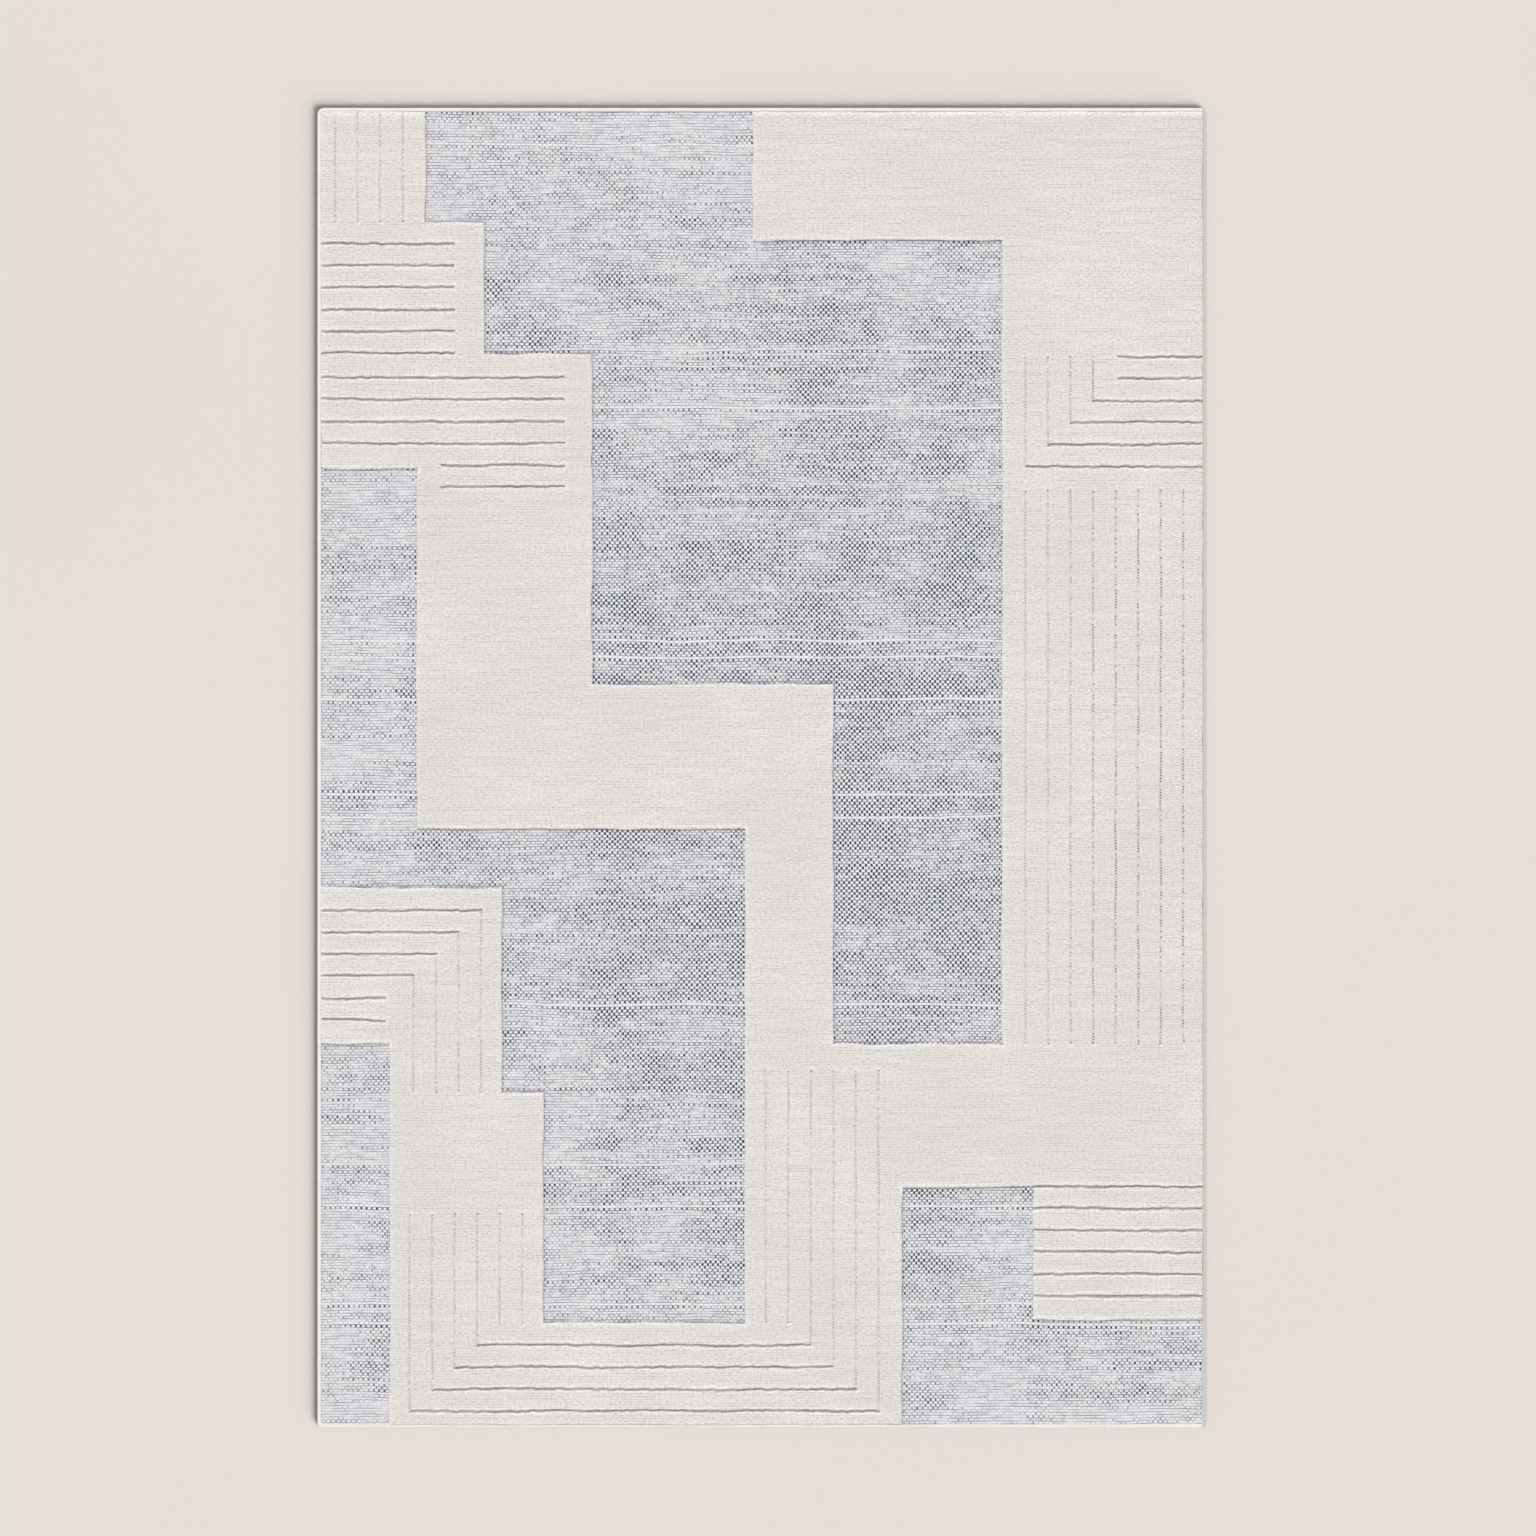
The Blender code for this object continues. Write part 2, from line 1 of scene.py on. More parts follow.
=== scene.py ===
"""The looks of the high-low area rug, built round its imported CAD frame.

The frame gives every place: the boxes of the pile panels, the carved grooves (read from the
panels' own solids) and the layers. On them stand a woven relief in the low fields, cut pile
with rows, tufts, soft shoulders and wavy grooves, a serged edge, and a canvas back with
stitched tapes. The rug lies still, so nothing is simulated. All sizes are in metres.
"""

import itertools
import math

import bpy
import numpy as np
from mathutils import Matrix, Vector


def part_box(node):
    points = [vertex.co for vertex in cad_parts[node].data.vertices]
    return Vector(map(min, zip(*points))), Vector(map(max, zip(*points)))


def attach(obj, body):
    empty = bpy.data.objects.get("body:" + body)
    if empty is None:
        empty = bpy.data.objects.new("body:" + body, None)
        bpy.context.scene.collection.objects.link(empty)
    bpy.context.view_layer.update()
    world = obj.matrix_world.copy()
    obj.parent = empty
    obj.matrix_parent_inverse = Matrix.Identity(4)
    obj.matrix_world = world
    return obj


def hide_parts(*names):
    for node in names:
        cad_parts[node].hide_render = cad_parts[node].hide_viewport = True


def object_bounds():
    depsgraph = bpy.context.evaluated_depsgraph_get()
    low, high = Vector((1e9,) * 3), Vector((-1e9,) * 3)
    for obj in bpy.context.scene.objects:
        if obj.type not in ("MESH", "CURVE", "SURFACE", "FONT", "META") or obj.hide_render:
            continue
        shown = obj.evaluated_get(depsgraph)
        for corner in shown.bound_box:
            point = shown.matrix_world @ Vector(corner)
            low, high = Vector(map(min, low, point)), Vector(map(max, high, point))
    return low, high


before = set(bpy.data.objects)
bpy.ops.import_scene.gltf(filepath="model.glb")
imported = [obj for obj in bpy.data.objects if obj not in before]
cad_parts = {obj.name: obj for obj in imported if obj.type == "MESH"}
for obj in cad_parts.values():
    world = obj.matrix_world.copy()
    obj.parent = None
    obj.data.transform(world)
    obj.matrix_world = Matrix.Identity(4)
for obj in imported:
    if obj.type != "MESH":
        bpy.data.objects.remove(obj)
CAD_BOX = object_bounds()

MM = 0.001

# Yarn spacings, shared by the ground weave and the pile that stands on it.
ROW_PITCH = 5.04 * MM
WARP_PITCH = 4.65 * MM

# Mesh spacings.
WEAVE_STEP_X = 1.55 * MM
WEAVE_STEP_Y = 1.26 * MM
PILE_STEP_X = 4.0 * MM
PILE_STEP_Y = 1.68 * MM
CLOTH_STEP = 12 * MM
MOST_QUADS = 92_000

# Lines of neighbouring panels that are closer than this are one line, and a point this far
# from a line is surely on one side of it.
JOIN = 1 * MM

# A length that counts as none.
SHORT = 1e-5

# Weave relief.
WEFT_SWING = 0.55 * MM
WEFT_ROUND = 0.85 * MM
WEFT_LUMP = 0.12 * MM
WARP_SWING = 0.30 * MM
WARP_DROP = 0.35 * MM
WARP_ROUND = 0.40 * MM
WARP_HALF_WIDTH = 0.30     # as a share of the warp's pitch
COVER_DROP = 0.40 * MM     # how much lower the warp lies where the weft covers it
ROW_DRIFT = 2.4 * MM       # slow and quick wander of the rows
ROW_TREMOR = 0.8 * MM
WEAVE_DEPTH = 1.2 * MM
MIDDLE_X = 0.158           # the warp shows most round this place and fades away from it
MIDDLE_Y = -0.03
FADE_LENGTH = 1.15
FADE_ASPECT = 1.2
OPEN_LEVEL = 0.68
TUCK = 3.4 * MM            # how far the woven faces run on under the pile and the binding
CORNER_TUCK = 2 * MM
PROBE = 2 * MM             # how far beyond a field's rim its neighbour is looked for

# Pile relief.
PILE_SINK = 0.3 * MM       # how far the middle of the relief lies under the top of the pile
RIDGE = 0.24 * MM
TUFT = 0.22 * MM
SWELL = 0.20 * MM
SHOULDER = 3.2 * MM
SHOULDER_DROP = 1.8 * MM
EDGE_SLOPE = 9 * MM        # the pile lies lower where it meets the serged edge
EDGE_DROP = 1.6 * MM
GROOVE_IN = 1.5 * MM       # a groove's wall slopes from this far inside its edge
GROOVE_OUT = 1.5 * MM      # to this far outside it
GROOVE_REACH = 4 * MM      # more than half the width of a groove
LIP_HEIGHT = 0.6 * MM      # the pile stands up beside its grooves
LIP_REACH = 9 * MM
UPRIGHT_WAVER = (0.8 * MM, 0.5 * MM)     # slow and quick waver of upright walls, and of level ones
LEVEL_WAVER = (1.9 * MM, 1.2 * MM)
UPRIGHT_DEPTH = 0.32       # rows lean together over the grooves that cross them
SPLAY = 1.0 * MM           # how far the tufts at the pile's sides stand out or in
PULL_REACH = 12 * MM       # how far in from the sides they do
EDGE_PULL = 0.4            # and how much of it they do at the rug's edge
LEAN = 1.4 * MM            # the nap leans down the rug, away from the pile's upper sides
FOOT_REACH = 7 * MM        # how far from there a shadow is painted on the weave at the foot of the tufts
RIM_HIGHLIGHT_REACH = 11 * MM        # how far in from the sides a highlight is painted on the pile


# ---------------- noise

def lattice(ix, iy, seed):
    """A repeatable value from 0 to 1 for each pair of whole numbers."""
    mixed = (ix * 374761393 + iy * 668265263 + seed * 974711) & 0xFFFFFFFF
    mixed = ((mixed ^ (mixed >> 13)) * 1274126177) & 0xFFFFFFFF
    mixed = mixed ^ (mixed >> 16)
    return (mixed & 0xFFFFFF) / 0xFFFFFF


def noise(x, y, seed):
    """Smooth noise from -1 to 1, with features one unit across. Each use has a seed of its own."""
    x, y = np.broadcast_arrays(np.asarray(x, float), np.asarray(y, float))
    ix = np.floor(x).astype(np.int64)
    iy = np.floor(y).astype(np.int64)
    fx = x - ix
    fy = y - iy
    fx = fx * fx * (3 - 2 * fx)
    fy = fy * fy * (3 - 2 * fy)
    low = lattice(ix, iy, seed) * (1 - fx) + lattice(ix + 1, iy, seed) * fx
    high = lattice(ix, iy + 1, seed) * (1 - fx) + lattice(ix + 1, iy + 1, seed) * fx
    return 2 * (low * (1 - fy) + high * fy) - 1


def smoothstep(low, high, value):
    t = np.clip((value - low) / (high - low), 0, 1)
    return t * t * (3 - 2 * t)


# ---------------- places read from the frame

PANELS = sorted(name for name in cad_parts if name.startswith("pile_"))


def merged(values):
    """Values closer than JOIN become one, at their mean."""
    groups = []
    for value in sorted(values):
        if groups and value - groups[-1][-1] < JOIN:
            groups[-1].append(value)
        else:
            groups.append([value])
    return [sum(group) / len(group) for group in groups]


def nearest(value, lines):
    return min(lines, key=lambda line: abs(line - value))


PANEL_BOXES = {name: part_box(name) for name in PANELS}
LINES_X = merged([corner.x for box in PANEL_BOXES.values() for corner in box])
LINES_Y = merged([corner.y for box in PANEL_BOXES.values() for corner in box])
RECTS = {
    name: (nearest(low.x, LINES_X), nearest(high.x, LINES_X),
           nearest(low.y, LINES_Y), nearest(high.y, LINES_Y))
    for name, (low, high) in PANEL_BOXES.items()
}

GROUND_LOW, GROUND_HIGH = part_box("ground_weave")
GROUND_TOP = GROUND_HIGH.z
CARRIER_TOP = GROUND_TOP - WEAVE_DEPTH - 0.05 * MM
PILE_BASE = PANEL_BOXES[PANELS[0]][0].z
PILE_TOP = PANEL_BOXES[PANELS[0]][1].z
HALF_X = CAD_BOX[1].x
HALF_Y = CAD_BOX[1].y
PILE_INSET = HALF_X - max(rect[1] for rect in RECTS.values())
BINDING_LOW, BINDING_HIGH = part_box("binding_right")
CORNER_RADIUS = BINDING_HIGH.x - BINDING_LOW.x


def cad_triangles(name):
    """The triangles of a CAD node, as an array of corners."""
    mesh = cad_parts[name].data
    mesh.calc_loop_triangles()
    points = np.array([vertex.co for vertex in mesh.vertices])
    return points[np.array([triangle.vertices for triangle in mesh.loop_triangles])]


def groove_floors(name):
    """The flat bottoms of a panel's grooves, as triangles, and their height."""
    corners = cad_triangles(name)
    heights = corners[:, :, 2]
    level = np.ptp(heights, axis=1) < SHORT
    inside = (heights[:, 0] > PILE_BASE + MM) & (heights[:, 0] < PILE_TOP - MM)
    found = corners[level & inside]
    return found[:, :, :2], (found[0, 0, 2] if len(found) else PILE_TOP)


def snapped(point):
    """A point whose coordinates move onto a panel line where one is very near."""
    x = nearest(point[0], LINES_X)
    y = nearest(point[1], LINES_Y)
    return (x if abs(x - point[0]) < JOIN else point[0], y if abs(y - point[1]) < JOIN else point[1])


def outline_edges(triangles):
    """The edges that belong to one floor triangle only: the outlines of the grooves."""
    count = {}
    for corners in triangles:
        ends = [tuple(np.round(corner, 5)) for corner in corners]
        for a, b in zip(ends, ends[1:] + ends[:1]):
            key = (min(a, b), max(a, b))
            count[key] = count.get(key, 0) + 1
    return [(*snapped(a), *snapped(b)) for (a, b), times in count.items() if times == 1]


def collect_grooves():
    edges = []
    floor = PILE_TOP
    for name in PANELS:
        found, height = groove_floors(name)
        edges += outline_edges(found)
        floor = min(floor, height)
    return np.array(edges), floor


GROOVE_EDGES, GROOVE_FLOOR = collect_grooves()


def in_groove(x, y):
    """Whether points lie inside a groove: a ray to the right crosses its outline an odd number of times."""
    odd = np.zeros(np.shape(x), bool)
    for x0, y0, x1, y1 in GROOVE_EDGES:
        if y0 != y1:
            at = x0 + (y - y0) * (x1 - x0) / (y1 - y0)
            odd ^= ((y0 > y) != (y1 > y)) & (at > x)
    return odd


def is_wall(edge):
    """Whether pile stands on one side of an outline edge; a groove may run on into the next panel."""
    x0, y0, x1, y1 = edge
    middle = np.array([x0 + x1, y0 + y1]) / 2
    across = np.array([y0 - y1, x1 - x0]) / math.hypot(x1 - x0, y1 - y0)
    sides = [middle + sign * JOIN * across for sign in (-1, 1)]
    return any(covered(*side) and not in_groove(*side) for side in sides)


def on_axis(axis, across, along):
    """x and y of what lies so far across axis 0 (x) or 1 (y) and so far along the other."""
    return (across, along) if axis == 0 else (along, across)


def covered(x, y):
    """Whether a point lies under a panel of pile."""
    return any(r[0] < x < r[1] and r[2] < y < r[3] for r in RECTS.values())


def pile_sides():
    """The outer sides of all the pile: (axis, place, start, end, outward sign)."""
    sides = []
    for axis, lines, crossing in ((0, LINES_X, LINES_Y), (1, LINES_Y, LINES_X)):
        for line in lines:
            for start, end in zip(crossing, crossing[1:]):
                middle = (start + end) / 2
                low, high = (covered(*on_axis(axis, line + off, middle)) for off in (-JOIN, JOIN))
                if low != high:
                    sides.append((axis, line, start, end, 1 if low else -1))
    return sides


PILE_SIDES = pile_sides()
GROOVE_WALLS = [edge for edge in GROOVE_EDGES if is_wall(edge)]


def low_fields():
    """Rectangles of bare ground weave: runs of cells that no panel covers, joined up where they match."""
    joined = []
    for near, far in zip(LINES_Y, LINES_Y[1:]):
        middle = (near + far) / 2
        cells = zip(LINES_X, LINES_X[1:])
        for under_pile, run in itertools.groupby(cells, lambda cell: covered(sum(cell) / 2, middle)):
            if under_pile:
                continue
            run = list(run)
            strip = [run[0][0], run[-1][1], near, far]
            match = [field for field in joined if field[:2] == strip[:2] and field[3] == near]
            if match:
                match[0][3] = far
            else:
                joined.append(strip)
    return joined


def split_field(rect):
    """Cut a field along its longer side until each part is a mesh of a handy size."""
    x0, x1, y0, y1 = rect
    quads = (x1 - x0) * (y1 - y0) / (WEAVE_STEP_X * WEAVE_STEP_Y)
    parts = max(1, math.ceil(quads / MOST_QUADS))
    if y1 - y0 >= x1 - x0:
        cuts = np.linspace(y0, y1, parts + 1)
        return [(x0, x1, a, b) for a, b in zip(cuts, cuts[1:])]
    cuts = np.linspace(x0, x1, parts + 1)
    return [(a, b, y0, y1) for a, b in zip(cuts, cuts[1:])]


# ---------------- yarn coordinates and relief

def row_wave(x, y):
    """How far the rows wander along the rug's length."""
    return ROW_DRIFT * noise(x / 0.15, y / 0.075, 11) + ROW_TREMOR * noise(x / 0.05, y / 0.03, 12)


def yarn_coordinates(x, y):
    """Warp number and row number at a point; both go up by one from yarn to yarn."""
    wander = 0.45 * noise(x / 0.05, y / 0.035, 13) + 0.15 * noise(x / 0.02, y / 0.012, 14)
    across = x / WARP_PITCH + wander
    along = (y + row_wave(x, y)) / ROW_PITCH
    return across, along


def yarn_fact(x, y, opened=0.0):
    """What every yarn material reads: warp number, row number and how much warp shows."""
    u, v = yarn_coordinates(x, y)
    return np.stack([u, v, np.broadcast_to(opened, u.shape)], -1)


def pale_row(row):
    """1 for the few rows of plump pale weft, 0 for the others."""
    return smoothstep(0.965, 0.985, lattice(row.astype(np.int64), 0, 20))


def openness(x, y):
    """How much of the dark warp the weft lets through, from 0 to 1, in patches and row by row."""
    row = np.floor(yarn_coordinates(x, y)[1])
    patch = 0.45 * noise(x / 0.095, y / 0.062, 16) + 0.48 * noise(x / 0.040, y / 0.020, 17)
    band = 0.32 * noise(x / 0.085, y / 0.8, 26) + 0.34 * noise(x / 0.7, y / 0.032, 27)
    long_streak = noise(x / 0.7, row * 5, 19)
    streak = 0.20 * noise(x / 0.10, row * 7, 18) + 0.12 * long_streak + 0.75 * long_streak**3
    streak = streak + 0.6 * pale_row(row + 1) - 1.6 * pale_row(row)
    fade = np.hypot(FADE_ASPECT * (x - MIDDLE_X), y - MIDDLE_Y) / FADE_LENGTH
    return np.clip((OPEN_LEVEL + patch + band + streak - fade) / 1.8 + 0.5, 0, 1)


def weave_height(x, y, opened):
    """Height of the woven face against the top of the ground weave, from 0 down."""
    u, v = yarn_coordinates(x, y)
    row = np.floor(v)
    in_row = v - row - 0.5
    warp = np.round(u)
    swing = np.cos(np.pi * (u + row))
    plump = 0.6 + 0.6 * opened
    weft = WEFT_SWING * (0.05 + opened) * (swing - 1) / 2
    weft = weft - WEFT_ROUND * plump * (1 - np.sqrt(np.maximum(0, 1 - (in_row / 0.56) ** 2)))
    warp_swing = -np.cos(np.pi * (warp + row)) * np.cos(np.pi * in_row)
    off_warp = np.abs(u - warp) / WARP_HALF_WIDTH
    rod = np.where(off_warp < 1, np.sqrt(np.maximum(0, 1 - off_warp**2)), -2)
    over = WARP_SWING * (warp_swing - 1) / 2 + WARP_ROUND * (rod - 1) - WARP_DROP - COVER_DROP * (1 - opened)
    lumps = WEFT_LUMP * noise(u * 1.3, row * 5, 15)
    return np.maximum(np.maximum(weft, over) + lumps, -WEAVE_DEPTH)


def bordered(axis, line):
    """Whether a line of the pattern lies against the serged edge."""
    return abs(line) > on_axis(axis, HALF_X, HALF_Y)[0] - 2 * PILE_INSET


def distance_to_side(x, y, side):
    """Distance to one of the pile's sides, and how far along it a point lies past its ends."""
    axis, line, start, end, _ = side
    across, along = on_axis(axis, x, y)
    past = np.maximum(0, np.maximum(start - along, along - end))
    return np.hypot(across - line, past), past


def side_distance(x, y):
    """Distances to the pile's sides: the nearest, the nearest level one, the nearest at the rug's edge.

    Also the outward pull towards the sides, along x and along y.
    """
    best = np.full(x.shape, 1.0)
    level_best = np.full(x.shape, 1.0)
    edge_best = np.full(x.shape, 1.0)
    pull_x = np.zeros(x.shape)
    pull_y = np.zeros(x.shape)
    for side in PILE_SIDES:
        axis, line, _, _, sign = side
        distance, past = distance_to_side(x, y, side)
        at_edge = bordered(axis, line)
        near = smoothstep(PULL_REACH, 0, distance) * (past <= SHORT) * (EDGE_PULL if at_edge else 1.0)
        best = np.minimum(best, distance)
        if at_edge:
            edge_best = np.minimum(edge_best, distance)
        if axis == 0:
            pull_x += sign * near
        else:
            pull_y += sign * near
            level_best = np.minimum(level_best, distance)
    return best, level_best, edge_best, np.clip(pull_x, -1, 1), np.clip(pull_y, -1, 1)


def groove_distance(x, y):
    """Signed distance to the grooves' walls, below zero inside, and whether the wall is upright."""
    slow, quick = UPRIGHT_WAVER
    px = x + slow * noise(y / 0.05, x / 0.02, 21) + quick * noise(y / 0.005, x / 0.02, 22)
    slow, quick = LEVEL_WAVER
    py = y + slow * noise(x / 0.075, y / 0.02, 23) + quick * noise(x / 0.009, y / 0.02, 24)
    best = np.full(x.shape, 1.0)
    upright = np.zeros(x.shape)
    for x0, y0, x1, y1 in GROOVE_WALLS:
        off_x = np.maximum(0, np.maximum(min(x0, x1) - px, px - max(x0, x1)))
        off_y = np.maximum(0, np.maximum(min(y0, y1) - py, py - max(y0, y1)))
        distance = np.hypot(off_x, off_y)
        closer = distance < best
        best = np.where(closer, distance, best)
        upright = np.where(closer, float(abs(x1 - x0) < abs(y1 - y0)), upright)
    near = best < GROOVE_REACH
    best[near] *= np.where(in_groove(px[near], py[near]), -1, 1)
    return best, upright


def painted_foot_shadow(x, y):
    """1 beside the upper sides of the pile, where a shadow is painted on the weave at the foot of the tufts,
    and 0 elsewhere.
    """
    best = np.full(x.shape, 1.0)
    for side in PILE_SIDES:
        axis, *_, sign = side
        if axis == 1 and sign > 0:
            best = np.minimum(best, distance_to_side(x, y, side)[0])
    return smoothstep(FOOT_REACH, FOOT_REACH / 2, best)


def pile_surface(x, y):
    """Where the pile's surface lies over a flat grid of points, and what its material needs."""
    distance, level_distance, edge_distance, pull_x, pull_y = side_distance(x, y)
    groove, upright = groove_distance(x, y)
    _, v = yarn_coordinates(x, y)
    tuft = noise(x / 0.0042, v, 31)
    ridge = np.cos(2 * np.pi * (v - 0.5)) * (0.6 + 0.4 * noise(x / 0.03, v / 3, 32))
    height = RIDGE * ridge + TUFT * tuft + SWELL * noise(x / 0.05, y / 0.05, 33)
    inward = np.clip(1 - distance / SHOULDER, 0, 1)
    height = height - SHOULDER_DROP * (1 - np.sqrt(1 - inward**2 * 0.96))
    height = height - EDGE_DROP * smoothstep(EDGE_SLOPE, 0, edge_distance)
    carve = smoothstep(GROOVE_OUT, -GROOVE_IN, groove)
    ragged = 1 + 0.12 * noise(x / 0.004, y / 0.004, 34)
    beat = 0.72 + 0.28 * np.cos(2 * np.pi * (v - 0.5))
    share = 1 - upright * (1 - UPRIGHT_DEPTH * beat)
    depth = (PILE_TOP - GROOVE_FLOOR) * carve * ragged * share
    lip = smoothstep(LIP_REACH, GROOVE_OUT, groove) * (1 - carve) * (1 - 0.6 * upright)
    height = height * (1 - 0.7 * carve) - depth + LIP_HEIGHT * lip
    splay = SPLAY * (0.5 * noise(x / 0.006, y / 0.006, 35) + 1.8 * noise(x / 0.05, y / 0.05, 36))
    moved_x = x + pull_x * splay
    upper_side = np.maximum(pull_y, 0)
    moved_y = y + pull_y * splay - LEAN * upper_side
    # A highlight is painted on the pile near its sides, most near level sides and less on upper ones, and on
    # the lips beside level grooves.
    level_rim_highlight = smoothstep(RIM_HIGHLIGHT_REACH, 0.5 * MM, level_distance)
    facts = {
        "yarn": yarn_fact(x, y),
        "carve": carve,
        "upright": upright,
        "rim": smoothstep(RIM_HIGHLIGHT_REACH, 0.5 * MM, distance),
        "level_rim_highlight": np.maximum(level_rim_highlight * (1 - 0.4 * upper_side), lip * (1 - upright)),
    }
    return moved_x, moved_y, PILE_TOP - PILE_SINK + height, facts


# ---------------- mesh building

def make_mesh(name, points, quads, triangles, facts, sharp, material):
    """A smooth-shaded mesh object from arrays, with its facts as point attributes.

    sharp has a bit for each side that a point lies on, and an edge whose two ends share a bit is sharp.
    """
    mesh = bpy.data.meshes.new(name)
    loops = np.concatenate([quads.ravel(), triangles.ravel()]).astype(np.int32)
    starts = np.concatenate([
        np.arange(len(quads)) * 4,
        len(quads) * 4 + np.arange(len(triangles)) * 3,
    ]).astype(np.int32)
    mesh.vertices.add(len(points))
    mesh.vertices.foreach_set("co", points.astype(np.float32).ravel())
    mesh.loops.add(len(loops))
    mesh.loops.foreach_set("vertex_index", loops)
    mesh.polygons.add(len(starts))
    mesh.polygons.foreach_set("loop_start", starts)
    mesh.update(calc_edges=True)
    mesh.polygons.foreach_set("use_smooth", np.ones(len(starts), bool))
    for key, values in facts.items():
        kind = "FLOAT_VECTOR" if values.ndim == 2 else "FLOAT"
        layer = mesh.attributes.new(key, kind, "POINT")
        layer.data.foreach_set("vector" if values.ndim == 2 else "value", values.astype(np.float32).ravel())
    pairs = np.empty(len(mesh.edges) * 2, np.int32)
    mesh.edges.foreach_get("vertices", pairs)
    ends = sharp[pairs.reshape(-1, 2)]
    layer = mesh.attributes.new("sharp_edge", "BOOLEAN", "EDGE")
    layer.data.foreach_set("value", (ends[:, 0] & ends[:, 1]) > 0)
    mesh.materials.append(material)
    obj = bpy.data.objects.new(name, mesh)
    bpy.context.collection.objects.link(obj)
    return obj


def grid_ring(nx, ny):
    """Indices of a grid's rim, anticlockwise."""
    index = np.arange(nx * ny).reshape(ny, nx)
    return np.concatenate([index[0, :-1], index[:-1, -1], index[-1, :0:-1], index[:0:-1, 0]])


def grid_quads(nx, ny):
    index = np.arange(nx * ny).reshape(ny, nx)
    corners = [index[:-1, :-1], index[:-1, 1:], index[1:, 1:], index[1:, :-1]]
    return np.stack(corners, -1).reshape(-1, 4)


# A bit for each side of a grid, and one for the rim of its floor.
NEAR, RIGHT, FAR, LEFT, FLOOR_RIM = 1, 2, 4, 8, 16
OUTWARD = {NEAR: (0, -1), RIGHT: (1, 0), FAR: (0, 1), LEFT: (-1, 0)}


def side_flags(nx, ny):
    """The bits of the sides that each point of a grid lies on."""
    flags = np.zeros((ny, nx), np.int32)
    flags[0] |= NEAR
    flags[:, -1] |= RIGHT
    flags[-1] |= FAR
    flags[:, 0] |= LEFT
    return flags.ravel()


def closed_grid(name, x, y, z, facts, levels, material):
    """A closed mesh: a grid on top, walls down through levels, and a flat floor.

    levels lists (height, how far the wall stands out there).
    """
    ny, nx = x.shape
    top = np.stack([x.ravel(), y.ravel(), z.ravel()], -1)
    ring = grid_ring(nx, ny)
    flags = side_flags(nx, ny)
    outward = np.zeros((len(ring), 2))
    for bit, direction in OUTWARD.items():
        outward += ((flags[ring] & bit) > 0)[:, None] * np.array(direction)
    points = [top]
    quads = [grid_quads(nx, ny)]
    upper = ring
    count = len(top)
    for height, out in levels:
        lower = count + np.arange(len(ring))
        wall = np.empty((len(ring), 3))
        out = np.broadcast_to(out, len(ring))[:, None]
        wall[:, :2] = top[ring, :2] + outward * out
        wall[:, 2] = height
        points.append(wall)
        quads.append(np.stack([upper, lower, np.roll(lower, -1), np.roll(upper, -1)], -1))
        upper = lower
        count += len(ring)
    points.append(points[-1].mean(0, keepdims=True))
    points = np.concatenate(points)
    triangles = np.stack([upper, np.full(len(ring), count), np.roll(upper, -1)], -1)
    repeated = {}
    for key, values in facts.items():
        flat = values.reshape(-1, 3) if values.ndim == 3 else values.ravel()
        parts = [flat] + [flat[ring]] * len(levels) + [flat[:1]]
        repeated[key] = np.concatenate(parts)
    sharp = np.zeros(len(points), np.int32)
    sharp[:len(top)] = flags
    sharp[upper] = FLOOR_RIM
    return make_mesh(name, points, np.concatenate(quads), triangles, repeated, sharp, material)


def place(piece, node):
    """Put a finished piece on the rug's one body, in the place of its CAD node."""
    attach(piece, "root")
    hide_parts(node)
    return piece


LEAST_RADIUS = 0.5 * MM


def follow_corner(x, y, inset):
    """Pull points that lie in the rug's square corners in to the rounded outline."""
    radius = max(CORNER_RADIUS - inset, LEAST_RADIUS)
    centre_x = HALF_X - inset - radius
    centre_y = HALF_Y - inset - radius
    dx = np.abs(x) - centre_x
    dy = np.abs(y) - centre_y
    length = np.hypot(dx, dy)
    out = (dx > 0) & (dy > 0) & (length > radius)
    scale = np.where(out, radius / np.maximum(length, SHORT), 1)
    new_x = np.where(out, np.sign(x) * (centre_x + dx * scale), x)
    new_y = np.where(out, np.sign(y) * (centre_y + dy * scale), y)
    return new_x, new_y


# ---------------- materials

